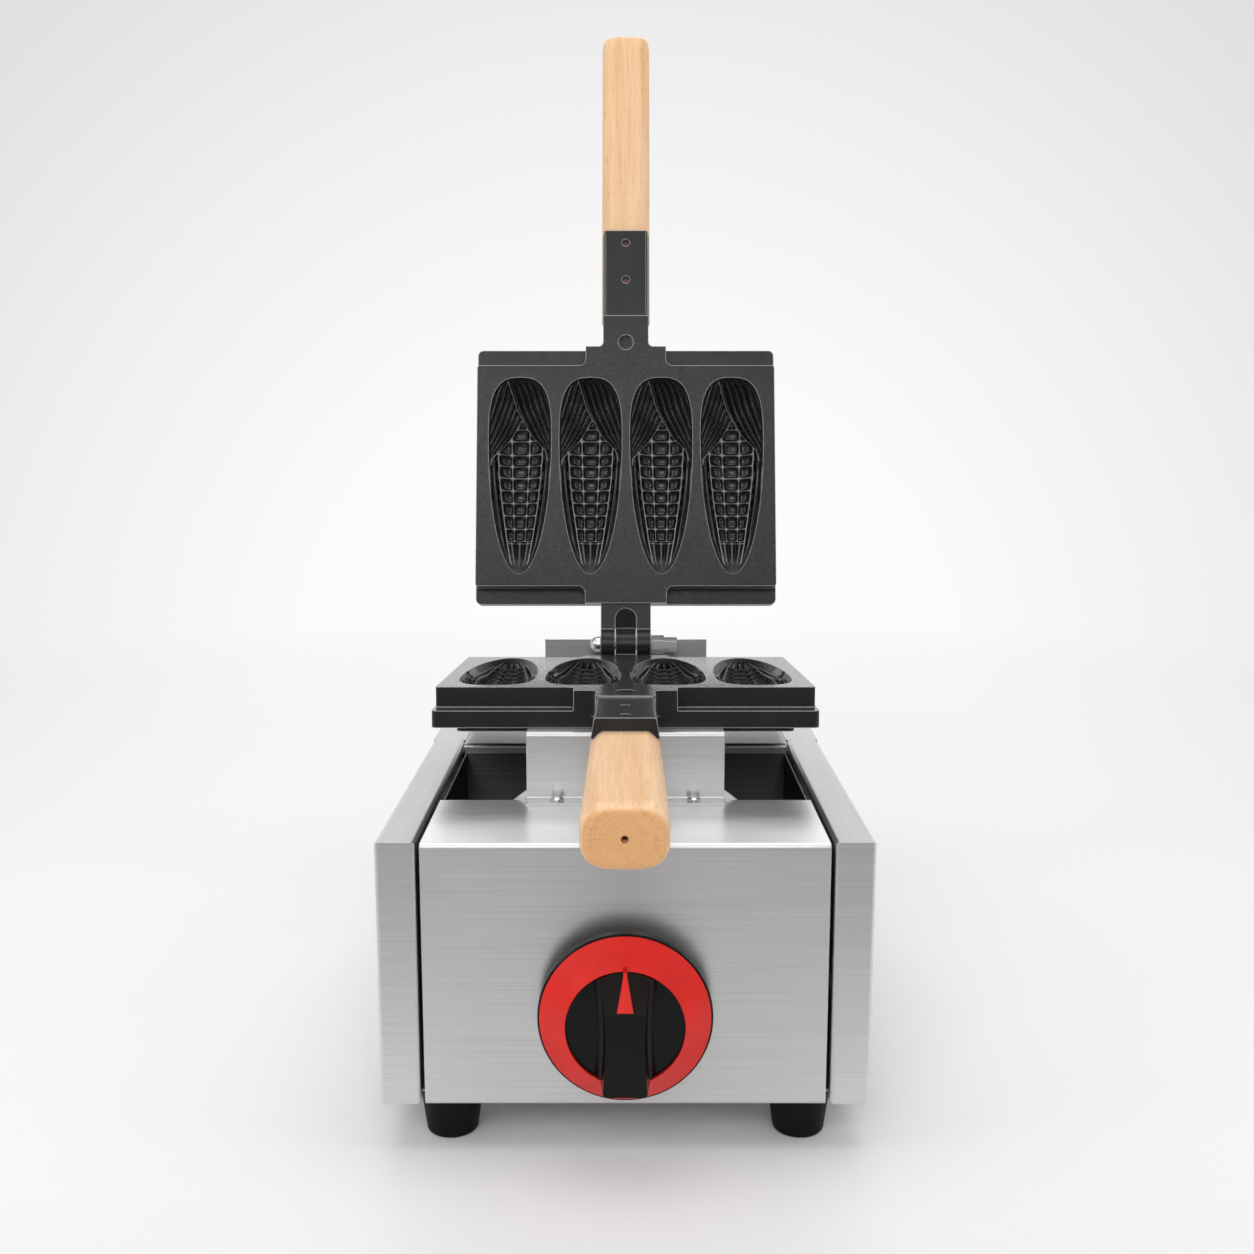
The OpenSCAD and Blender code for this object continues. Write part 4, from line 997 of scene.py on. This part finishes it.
@dataclass(frozen=True)
class CornRelief:
    """Inside of one ear cavity: crossed husk leaves, kernel pockets and silk.

    Sizes are in millimetres. Places are X from the ear's centre line, right positive,
    and S from the mould's handle edge.
    """

    start: float = 23.2
    length: float = 144.0
    half: float = 22.8
    deepest: float = 15.0
    belly: float = 0.318
    rows: int = 360
    columns: int = 128
    end_ease: float = 0.12
    skin: float = 0.12
    notch_in: Span = (84.0, 91.5)
    notch_out: Span = (96.0, 120.0)
    wall_fade: Span = (1.2, 7.5)
    rim_width: Span = (0.975, 0.997)
    rim_ends: Span = (0.05, 0.5)
    wear_and_highlight_height: float = 2.95
    leaf_slant: float = 0.80
    leaf_blend: Span = (-0.2, 0.2)
    leaf_edge_at: float = 0.5
    leaf_edge_width: float = 1.0
    right_end: float = 84.5
    right_fan: float = 2.4
    right_pitch: float = 6.8
    right_edge: float = 2.6
    left_end: float = 88.0
    left_fan: float = 3.0
    left_pitch: float = 5.6
    left_edge: float = 2.4
    left_over: float = 0.4
    rib_height: float = 2.5
    rib_power: float = 2.8
    kernel_height: float = 3.1
    kernel_powers: Span = (3.2, 3.6)
    first_row: float = 49.5
    silk_start: float = 143.0
    silk_length: float = 23.0
    silk_pitch: Span = (5.8, 3.2)
    silk_least: float = 1.2
    silk_base: float = 0.2
    silk_height: float = 2.2
    silk_power: float = 0.8
    collar_from: float = 143.3
    collar_at: float = 144.4
    collar_height: float = 2.7
    rib_width: float = 1.3
    husk_height: float = 2.2
    husk_at: float = 0.46
    husk_blend: Span = (-0.3, 0.4)
    bound_height: float = 3.0
    bound_at: float = 0.2
    bound_width: float = 1.2

    # Share of a ridge's half-width that is its flat top
    RIDGE_TOP = 0.12
    # Ridges between the rows of kernels
    ROWS = (59.2, 67.9, 78.4, 86.8, 95.8, 105.1, 114.3, 123.7, 133.6, 143.0)
    # Edges of the two leaves that cross over the ear
    RIGHT_S = (23.0, 33.1, 44.6, 53.6, 63.4, 70.0, 75.3, 79.8, 86.0)
    RIGHT_X = (-10.5, -7.1, -3.4, 1.2, 7.0, 12.6, 17.1, 18.6, 19.2)
    LEFT_S = (23.0, 30.0, 40.0, 53.2, 65.5, 71.6, 77.5, 82.5, 88.0)
    LEFT_X = (9.0, 8.6, 6.6, 1.2, -6.0, -10.6, -15.6, -19.6, -20.4)
    # Half-width of the two middle columns of kernels
    COLUMN_S = (59.0, 78.4, 143.0)
    COLUMN_X = (6.8, 6.4, 3.9)
    # Half-width of the cob, up to where the husk's walls begin
    BOUND_S = (59.0, 80.0, 96.0, 114.0, 129.0, 143.0, 158.0, 166.0)
    BOUND_X = (16.5, 15.8, 14.9, 12.9, 10.8, 8.8, 6.0, 3.2)

    @property
    def rise(self) -> float:
        """How far the centre of the bowl's round section lies above the parting plane."""
        return (self.half ** 2 - self.deepest ** 2) / (2.0 * self.deepest)

    @staticmethod
    def step(value: np.ndarray, low: float, high: float) -> np.ndarray:
        """Smooth step from 0 at low to 1 at high."""
        t = np.clip((value - low) / (high - low), 0.0, 1.0)
        return t * t * (3.0 - 2.0 * t)

    @classmethod
    def ridge(cls, distance: np.ndarray, width: float) -> np.ndarray:
        """Rounded ridge, 1 on a line and 0 from a distance of its half-width on."""
        return 1.0 - cls.step(np.abs(distance), cls.RIDGE_TOP * width, width)

    def pleats(self, turns: np.ndarray) -> np.ndarray:
        """Height of sharp-crested ribs with rounded valleys, one rib to a unit."""
        return self.rib_height * (2.0 * np.abs(np.mod(turns, 1.0) - 0.5)) ** self.rib_power

    def half_width(self, s: np.ndarray) -> np.ndarray:
        """Half-width of the smooth outline.

        Args:
            s: Distances from the handle edge.

        Returns:
            Half-widths.
        """
        u = np.clip((s - self.start) / self.length, 0.0, 1.0)
        blunt = np.clip((self.belly - u) / self.belly, 0.0, 1.0)
        slim = np.clip((u - self.belly) / (1.0 - self.belly), 0.0, 1.0)
        return self.half * np.where(u < self.belly, (1.0 - blunt ** 3) ** (1.0 / 3.0),
                                    np.sqrt(1.0 - slim ** 2))

    def depth(self, x: np.ndarray, s: np.ndarray) -> np.ndarray:
        """Depth of the relief below the parting plane.

        Args:
            x: Distances from the ear's centre line.
            s: Distances from the mould's handle edge.

        Returns:
            Depths, 0 outside the cavity.
        """
        half = self.half_width(s)
        # The leaves' tips leave a shallow notch in the outline
        notch = self.step(s, *self.notch_in) * (1.0 - self.step(s, *self.notch_out))
        inner = np.maximum(half - notch, 0.0)
        bowl = np.sqrt(np.maximum(inner ** 2 + self.rise ** 2 - x ** 2, 0.0)) - self.rise
        bowl = np.where(np.abs(x) < inner, np.maximum(bowl, 0.0), 0.0)
        raised = self.skin + self._raised(x, s, half)
        return np.maximum(bowl - raised * self.step(bowl, *self.wall_fade), 0.0)

    def crest(self, x: np.ndarray, s: np.ndarray) -> np.ndarray:
        """How near each place is to the top of a rib, for the paler colour that stands for the coat's
        rubbing and for a painted highlight.

        Args:
            x: Distances from the ear's centre line.
            s: Distances from the mould's handle edge.

        Returns:
            0 in the hollows, 1 on the crests and along the cavity's rim.
        """
        half = self.half_width(s)
        # The cavity's rim counts as a crest, so it is painted paler too: partly rubbed coat, partly painted
        # highlight
        rim = self.step(np.abs(x) / np.maximum(half, 0.5), *self.rim_width)
        ends = np.minimum(s - self.start, self.start + self.length - s)
        rim = np.maximum(rim, 1.0 - self.step(ends, *self.rim_ends))
        return np.maximum(np.clip(self._raised(x, s, half) / self.wear_and_highlight_height, 0.0, 1.0), rim)

    def _raised(self, x: np.ndarray, s: np.ndarray, half: np.ndarray) -> np.ndarray:
        """Height of leaves and cob over the smooth bowl; the right leaf lies over the left one.

        Args:
            x: Distances from the ear's centre line.
            s: Distances from the mould's handle edge.
            half: Half-widths of the outline.

        Returns:
            Heights.
        """
        right = np.interp(s, self.RIGHT_S, self.RIGHT_X)
        left = np.interp(s, self.LEFT_S, self.LEFT_X)
        to_right = (x - right) * self.leaf_slant
        to_left = (left - x) * self.leaf_slant
        on_right = self.step(to_right, *self.leaf_blend) * (s < self.right_end)
        on_left = self.step(to_left, *self.leaf_blend) * (s < self.left_end)
        edge_right, edge_left = (self.ridge(across - self.leaf_edge_at, self.leaf_edge_width)
                                 for across in (to_right, to_left))
        # Leaf ribs fan out between each leaf's edge and the cavity's wall
        q_right = np.clip((x - right) / np.maximum(half - right, 1.0), 0.0, 1.0)
        q_left = np.clip((left - x) / np.maximum(left + half, 1.0), 0.0, 1.0)
        leaf_right = np.maximum(self.pleats(q_right * self.right_fan + to_right / self.right_pitch),
                                self.right_edge * edge_right)
        leaf_left = self.left_over + np.maximum(
            self.pleats(q_left * self.left_fan + to_left / self.left_pitch), self.left_edge * edge_left)
        value = self._cob(x, s)
        value = value * (1.0 - on_left) + leaf_left * on_left
        return value * (1.0 - on_right) + leaf_right * on_right

    def _cob(self, x: np.ndarray, s: np.ndarray) -> np.ndarray:
        """Height of kernels, silk and the husk beside them.

        Args:
            x: Distances from the ear's centre line.
            s: Distances from the mould's handle edge.

        Returns:
            Heights.
        """
        column = np.interp(s, self.COLUMN_S, self.COLUMN_X)
        bound = np.interp(s, self.BOUND_S, self.BOUND_X)
        rows = np.array((self.first_row, *self.ROWS))
        row = np.clip(np.searchsorted(rows, s) - 1, 0, len(rows) - 2)
        along = np.abs(2.0 * (s - rows[row]) / (rows[row + 1] - rows[row]) - 1.0)
        side = np.abs(x)
        across = np.where(side < column, side / column,
                          np.abs(2.0 * (side - column) / (bound - column) - 1.0))
        # Each kernel's pocket is a pillow hollow with sharp ridges round it
        pillow = (1.0 - np.clip(along, 0.0, 1.0) ** self.kernel_powers[0]) * (
            1.0 - np.clip(across, 0.0, 1.0) ** self.kernel_powers[1])
        kernels = self.kernel_height * (1.0 - pillow)
        # Strands of silk draw together towards the tip, behind a collar
        t = (s - self.silk_start) / self.silk_length
        strand = np.maximum(self.silk_pitch[0] - self.silk_pitch[1] * t, self.silk_least)
        lobes = 0.5 + 0.5 * np.cos(2.0 * np.pi * side / strand)
        silk = np.maximum(self.silk_base + self.silk_height * lobes ** self.silk_power,
                          self.collar_height * self.ridge(s - self.collar_at, self.rib_width))
        cob = np.where(s > self.collar_from, silk, kernels)
        # Long ribs of the husk beside the kernels
        wall = side - bound
        rim = self.half_width(s) - bound
        husk = self.husk_height * self.ridge(wall - self.husk_at * rim, self.rib_width)
        edge = self.bound_height * self.ridge(wall - self.bound_at, self.bound_width)
        outside = self.step(wall, *self.husk_blend)
        return np.maximum(cob * (1.0 - outside) + husk * outside, edge)

    def surface(self) -> tuple[np.ndarray, np.ndarray, np.ndarray]:
        """Grid of the relief, whose border lies on the cavity's outline.

        Returns:
            X, S and depth arrays of the same shape.
        """
        t = np.linspace(0.0, 1.0, self.rows)
        # Rows lie closer together towards both ends, where the outline turns fastest
        eased = self.end_ease * (0.5 - 0.5 * np.cos(np.pi * t)) + (1.0 - self.end_ease) * t
        s = self.start + self.length * (0.5 - 0.5 * np.cos(np.pi * eased))
        v = np.linspace(-1.0, 1.0, self.columns)
        x = self.half_width(s)[:, None] * v[None, :]
        grid_s = np.repeat(s[:, None], self.columns, 1)
        return x, grid_s, self.depth(x, grid_s)


@dataclass(frozen=True)
class MouldLinings:
    """The carved linings of the ear cavities in both cast moulds; sizes in millimetres."""

    smith: Smith
    layout: Layout
    relief: CornRelief = CornRelief()
    ears: int = 4
    pitch: float = 51.1
    face: float = 0.15
    proud: float = 0.03
    smooth: float = 80.0

    def build(self) -> None:
        """Builds the linings of the lower and of the upper mould."""
        self._line("lower_ear_cavities", "mould_base", self.layout.mould, -1.0, PAINTED_SHADE_IRON)
        self._line("upper_ear_cavities", "mould_lid", self.layout.lid, 1.0, CARVED_IRON)

    def _line(self, name: str, body: str, place: Matrix, side: float, finish: CastIron) -> None:
        """Builds the linings of one mould as one piece.

        Args:
            name: Name of the piece.
            body: Body that it moves with.
            place: The mould's frame.
            side: 1 where the cavities go up from the parting plane, -1 where they go down.
            finish: Its iron.
        """
        x, s, depth = self.relief.surface()
        rows, columns = x.shape
        quads = [[r * columns + c, r * columns + c + 1, (r + 1) * columns + c + 1, (r + 1) * columns + c]
                 for r in range(rows - 1) for c in range(columns - 1)]
        if side < 0.0:
            quads = [q[::-1] for q in quads]
        up = side * (depth + self.face - self.proud)
        middle = (self.ears - 1) / 2.0
        shells = [(np.stack([x + (i - middle) * self.pitch, s, up], -1).reshape(-1, 3) * MM, quads)
                  for i in range(self.ears)]
        made = self.smith.mesh(name, gathered(shells), finish, place, self.smooth)
        wear_and_highlight_mask = np.tile(self.relief.crest(x, s).reshape(-1), self.ears).astype(np.float32)
        made.data.attributes.new("crest", "FLOAT", "POINT").data.foreach_set("value", wear_and_highlight_mask)
        self.smith.ride(made, body, Slot.IRON)


# ---------------------------------------------------------------- handles


@dataclass(frozen=True)
class WoodenHandles:
    """The two wooden handles, flat-sided with soft arrises and a sanded tip; sizes in millimetres."""

    smith: Smith
    layout: Layout
    start: float = 1.0
    length: float = 218.8
    width: float = 35.2
    height: float = 25.5
    middle: float = 19.85
    flat: float = 22.0
    side: float = 9.3
    shoulder: float = 12.0
    tip_width: float = 33.8
    tip_height: float = 24.3
    tip_power: float = 3.0
    tip_reach: float = 9.0
    tip_edge: float = 2.0
    tip_rings: int = 9
    edge_rings: int = 7
    hole: float = 2.7
    hole_places: Span = (55.3, 27.3)
    sink: float = 7.0
    sink_depth: float = 12.0
    centre_hole: float = 1.1
    centre_depth: float = 25.0
    drill_past: float = 2.0
    hole_steps: int = 64
    centre_steps: int = 32
    steps: int = 192
    smooth: float = 22.0

    def build(self) -> None:
        """Builds both handles."""
        flip = Matrix.Scale(-1.0, 4, (0.0, 0.0, 1.0))
        turn = Matrix.Scale(-1.0, 4, (1.0, 0.0, 0.0))
        lower = self.layout.mould @ self.layout.handle
        upper = self.layout.lid @ flip @ self.layout.handle @ turn
        self._one("lower_wooden_handle", lower, "mould_base", "lower_handle")
        self._one("upper_wooden_handle", upper, "mould_lid", "upper_handle")

    def _one(self, name: str, place: Matrix, body: str, node: str) -> None:
        """Builds one handle.

        Args:
            name: Name of the piece.
            place: The handle's frame.
            body: Body that it moves with.
            node: Frame node that it is shown in place of.
        """
        slope = np.linspace(self.tip_reach, self.tip_edge, self.tip_rings)[1:]
        round_off = self.tip_edge * (1.0 - np.sin(np.linspace(0.0, np.pi / 2.0, self.edge_rings)))[1:]
        insets = (self.length, self.tip_reach, *slope, *round_off)
        made = self.smith.mesh(name, loft([self._ring(float(inset)) for inset in insets]), BEECH, place)
        self.smith.carve(made, self._drills(place), self.smooth)
        self.smith.ride(made, body, Slot.WOOD, node)

    @property
    def turns(self) -> np.ndarray:
        """Directions round the handle, one for each point of a ring."""
        return 2.0 * np.pi * (np.arange(self.steps) + 0.5) / self.steps

    @property
    def _body_reach(self) -> np.ndarray:
        """Distance from the middle to the wood's face: four flats joined by round shoulders.

        Returns:
            One distance for each direction.
        """
        c, s = np.abs(np.cos(self.turns)), np.abs(np.sin(self.turns))
        top = np.array((self.flat / 2.0, self.height / 2.0))
        edge = np.array((self.width / 2.0, self.side / 2.0))
        chord = edge - top
        back = math.sqrt((self.shoulder / float(np.linalg.norm(chord))) ** 2 - 0.25)
        centre = (top + edge) / 2.0 + np.array((chord[1], -chord[0])) * back
        flats = np.minimum(self.width / 2.0 / np.maximum(c, 1e-9), self.height / 2.0 / np.maximum(s, 1e-9))
        along = c * centre[0] + s * centre[1]
        arc = along + np.sqrt(np.maximum(along ** 2 - float(centre @ centre) + self.shoulder ** 2, 0.0))
        angle = np.arctan2(s, c)
        on_arc = (angle > math.atan2(edge[1], edge[0])) & (angle < math.atan2(top[1], top[0]))
        return np.where(on_arc, arc, flats)

    @property
    def _tip_reach(self) -> np.ndarray:
        """Distance from the middle to the rounder outline of the tip."""
        c, s = np.abs(np.cos(self.turns)), np.abs(np.sin(self.turns))
        return ((c / (self.tip_width / 2.0)) ** self.tip_power
                + (s / (self.tip_height / 2.0)) ** self.tip_power) ** (-1.0 / self.tip_power)

    def _ring(self, inset: float) -> np.ndarray:
        """Points of one ring round the handle.

        Args:
            inset: Distance from the handle's tip, in millimetres.

        Returns:
            N by 3 array in metres.
        """
        share = float(CornRelief.step(np.array(self.tip_reach - inset), 0.0, self.tip_reach))
        body = self._body_reach
        reach = body * (1.0 - share) + np.minimum(self._tip_reach, body) * share
        if inset < self.tip_edge:
            reach = reach - self.tip_edge + math.sqrt(self.tip_edge ** 2 - (self.tip_edge - inset) ** 2)
        along = -(self.start + self.length - inset)
        return np.stack([reach * np.cos(self.turns), np.full(self.steps, along),
                         reach * np.sin(self.turns) - self.middle], 1) * MM

    def _drills(self, place: Matrix) -> bpy.types.Object:
        """Solid of the two sunk screw holes and of the hole in the tip's middle.

        Args:
            place: The handle's frame.

        Returns:
            The solid.
        """
        low = -self.middle - self.height / 2.0
        floor = low + self.sink_depth
        through = ((0.0, low - self.drill_past), (self.sink, low - self.drill_past), (self.sink, floor),
                   (self.hole, floor), (self.hole, self.drill_past), (0.0, self.drill_past))
        screw, walls = lathe(through, self.hole_steps, Axis.Z)
        shells = [(screw + np.array((0.0, -along * MM, 0.0)), walls) for along in self.hole_places]
        end = -(self.start + self.length)
        blind = ((0.0, end - self.drill_past), (self.centre_hole, end - self.drill_past),
                 (self.centre_hole, end + self.centre_depth), (0.0, end + self.centre_depth))
        centre, walls = lathe(blind, self.centre_steps, Axis.Y)
        shells.append((centre + np.array((0.0, 0.0, -self.middle * MM)), [wall[::-1] for wall in walls]))
        return self.smith.mesh("handle_drills", gathered(shells), BEECH, place)


# ---------------------------------------------------------------- knob


@dataclass(frozen=True)
class Knob:
    """The knob's black moulding, whose grip ends in the dish's round edge.

    Sizes are in millimetres from the knob's axis and from the front panel.
    """

    smith: Smith
    layout: Layout
    drop: float = 86.2
    dish: float = 29.0
    ring_edge: float = 25.3
    reach: float = 46.0
    front: float = 42.0
    steps: int = 97
    smooth: float = 30.0

    def build(self, node: bpy.types.Object) -> None:
        """Builds the moulding from the frame's own solid.

        Args:
            node: The frame's knob body.
        """
        made = add_object("knob_moulding", node.data.copy())
        made.matrix_world = node.matrix_world
        self.smith.carve(made, self._surround(), self.smooth)
        self.smith.ride(made, "knob", Slot.PLASTIC, node.name)

    def _surround(self) -> bpy.types.Object:
        """Half ring above the dish that takes the grip's end back to the dish's edge.

        Returns:
            The solid.
        """
        half = np.linspace(0.0, np.pi, self.steps)
        inner = np.stack([self.dish * np.cos(half), self.dish * np.sin(half)], 1)
        outer = np.stack([self.reach * np.cos(half[::-1]), self.reach * np.sin(half[::-1])], 1)
        outline = np.concatenate([inner, outer])
        rings = [np.stack([outline[:, 0], np.full(len(outline), -out), outline[:, 1]], 1) * MM
                 for out in (self.front, self.ring_edge)]
        place = Matrix.Translation((0.0, self.layout.front_y, self.layout.top_z - self.drop * MM))
        return self.smith.mesh("knob_surround", loft(rings), PLASTIC, place)


# ---------------------------------------------------------------- the frame's own nodes


def dress_frame(nodes: dict[str, bpy.types.Object], shop: FinishShop, smooth: float = 32.0) -> None:
    """Gives every frame node its finish.

    Args:
        nodes: Frame nodes by name.
        shop: Where materials come from.
        smooth: Edges flatter than this angle, in degrees, are shaded smooth.
    """
    finishes = {name: finish for finish, names in FRAME_FINISHES for name in names}
    for name, node in nodes.items():
        node.data.materials.clear()
        node.data.materials.append(shop.get(finishes[name]))
        Smith.soften(node, smooth)
        LOG.info("finished %s", name)


# ---------------------------------------------------------------- studio


@dataclass(frozen=True)
class Lamp:
    """One soft box, in metres and watts."""

    name: str
    place: Point
    aim: Point
    size: Span
    watts: float

    def build(self) -> None:
        """Hangs the soft box and turns it to what it lights."""
        data = bpy.data.lights.new(self.name, "AREA")
        data.shape = "RECTANGLE"
        data.size, data.size_y = self.size
        data.energy = self.watts
        made = add_object(self.name, data)
        made.location = self.place
        aim = Vector(self.aim) - Vector(self.place)
        made.rotation_euler = aim.to_track_quat("-Z", "Y").to_euler()


@dataclass(frozen=True)
class Studio:
    """Floor, soft light and camera; lengths in metres but for the lens's millimetres."""

    layout: Layout
    lens: float = 38.74
    sensor: float = 36.0
    clip_end: float = 50.0
    pitch: float = math.radians(8.9)
    back: float = 0.64394
    above: float = 0.20883
    side: float = 0.00085
    floor_radius: float = 3.0
    floor_steps: int = 96
    floor_tone: Rgb = (0.82, 0.82, 0.82)
    floor_fade: Span = (0.4, 1.7)
    front_fade: Span = (-0.55, -0.19)
    front_clear: float = 0.9
    room_light: float = 0.62
    glow_drop: float = 0.04
    glow_stops: tuple[float, ...] = (0.03, 0.12, 0.21, 0.31, 0.55, 0.9)
    glow_levels: tuple[float, ...] = (0.985, 0.96, 0.87, 0.73, 0.60, 0.34)
    lamps: tuple[Lamp, ...] = (
        Lamp("front_softbox", (-0.25, -1.7, 1.3), (0.0, 0.1, 0.8), (1.5, 0.7), 11.0),
        Lamp("left_softbox", (-1.5, -0.5, 1.1), (0.0, 0.0, 0.2), (0.6, 1.1), 3.5),
        Lamp("right_softbox", (1.5, -0.4, 1.2), (0.0, 0.0, 0.2), (0.5, 1.1), 2.5),
        Lamp("top_softbox", (0.0, 0.0, 1.95), (0.0, 0.15, 0.0), (1.6, 1.1), 10.0),
        Lamp("back_softbox", (0.0, 1.75, 1.75), (0.0, 0.3, 0.2), (1.9, 0.7), 11.0),
    )

    def build(self) -> None:
        """Builds the whole studio."""
        self._floor()
        self._world()
        for lamp in self.lamps:
            lamp.build()
        self._camera()

    def _floor(self) -> None:
        """Lays a pale floor that fades out round the model and sooner in front of it."""
        turns = 2.0 * np.pi * np.arange(self.floor_steps) / self.floor_steps
        points = np.stack([self.floor_radius * np.cos(turns), self.floor_radius * np.sin(turns),
                           np.zeros(self.floor_steps)], 1)
        floor = add_object("studio_floor", mesh_data("studio_floor", points, [range(self.floor_steps)]))
        material = bpy.data.materials.new("pale_floor")
        sheet = NodeSheet(material, "ShaderNodeOutputMaterial")
        place = sheet.add("ShaderNodeTexCoord").outputs["Object"]
        around = sheet.spread(sheet.measure("LENGTH", place), 0.0, 1.0, *self.floor_fade)
        ahead = sheet.spread(sheet.split(place)["Y"], self.front_clear, 0.0, *self.front_fade)
        pale = sheet.add("ShaderNodeBsdfDiffuse", Color=self.floor_tone).outputs["BSDF"]
        clear = sheet.add("ShaderNodeBsdfTransparent").outputs["BSDF"]
        fade = sheet.sums("MAXIMUM", around, ahead)
        sheet.fill(sheet.out, Surface=sheet.joined_shaders(fade, pale, clear))
        floor.data.materials.append(material)

    def _world(self) -> None:
        """Builds the room: even light, and what is seen of it a glow behind the model."""
        world = bpy.data.worlds.new("soft_room")
        bpy.context.scene.world = world
        sheet = NodeSheet(world, "ShaderNodeOutputWorld")
        even = sheet.add("ShaderNodeBackground", Color=WHITE, Strength=self.room_light)
        centre = (0.0, math.cos(self.pitch), -math.sin(self.pitch) - self.glow_drop)
        off = sheet.measure("DISTANCE", sheet.add("ShaderNodeTexCoord").outputs["Generated"], centre)
        tone = sheet.ramp(sheet.sums("MULTIPLY", off, 0.5), self.glow_stops,
                          [(level, level, level) for level in self.glow_levels])
        glow = sheet.add("ShaderNodeBackground", Color=tone, Strength=1.0)
        rays = sheet.add("ShaderNodeLightPath").outputs
        seen = sheet.sums("MAXIMUM", rays["Is Camera Ray"], rays["Is Glossy Ray"])
        seen = sheet.sums("MAXIMUM", seen, rays["Is Transmission Ray"])
        room = sheet.joined_shaders(seen, even.outputs["Background"], glow.outputs["Background"])
        sheet.fill(sheet.out, Surface=room)

    def _camera(self) -> None:
        """Sets up the camera."""
        data = bpy.data.cameras.new("studio_camera")
        data.sensor_width = self.sensor
        data.lens = self.lens
        data.clip_end = self.clip_end
        made = add_object("studio_camera", data)
        made.location = (self.side, self.layout.front_y - self.back, self.layout.top_z + self.above)
        made.rotation_euler = (math.pi / 2.0 - self.pitch, 0.0, 0.0)
        bpy.context.scene.camera = made


def main() -> None:
    """Builds the whole scene."""
    logging.basicConfig(level=logging.INFO, format="%(message)s")
    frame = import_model()
    shop = FinishShop()
    smith = Smith(shop)
    layout = layout_from_frame()
    dress_frame(frame["nodes"], shop)
    MouldLinings(smith, layout).build()
    WoodenHandles(smith, layout).build()
    Knob(smith, layout).build(frame["nodes"]["knob_body"])
    Studio(layout).build()
    bpy.context.scene.view_settings.view_transform = "Standard"


if __name__ == "__main__":
    main()
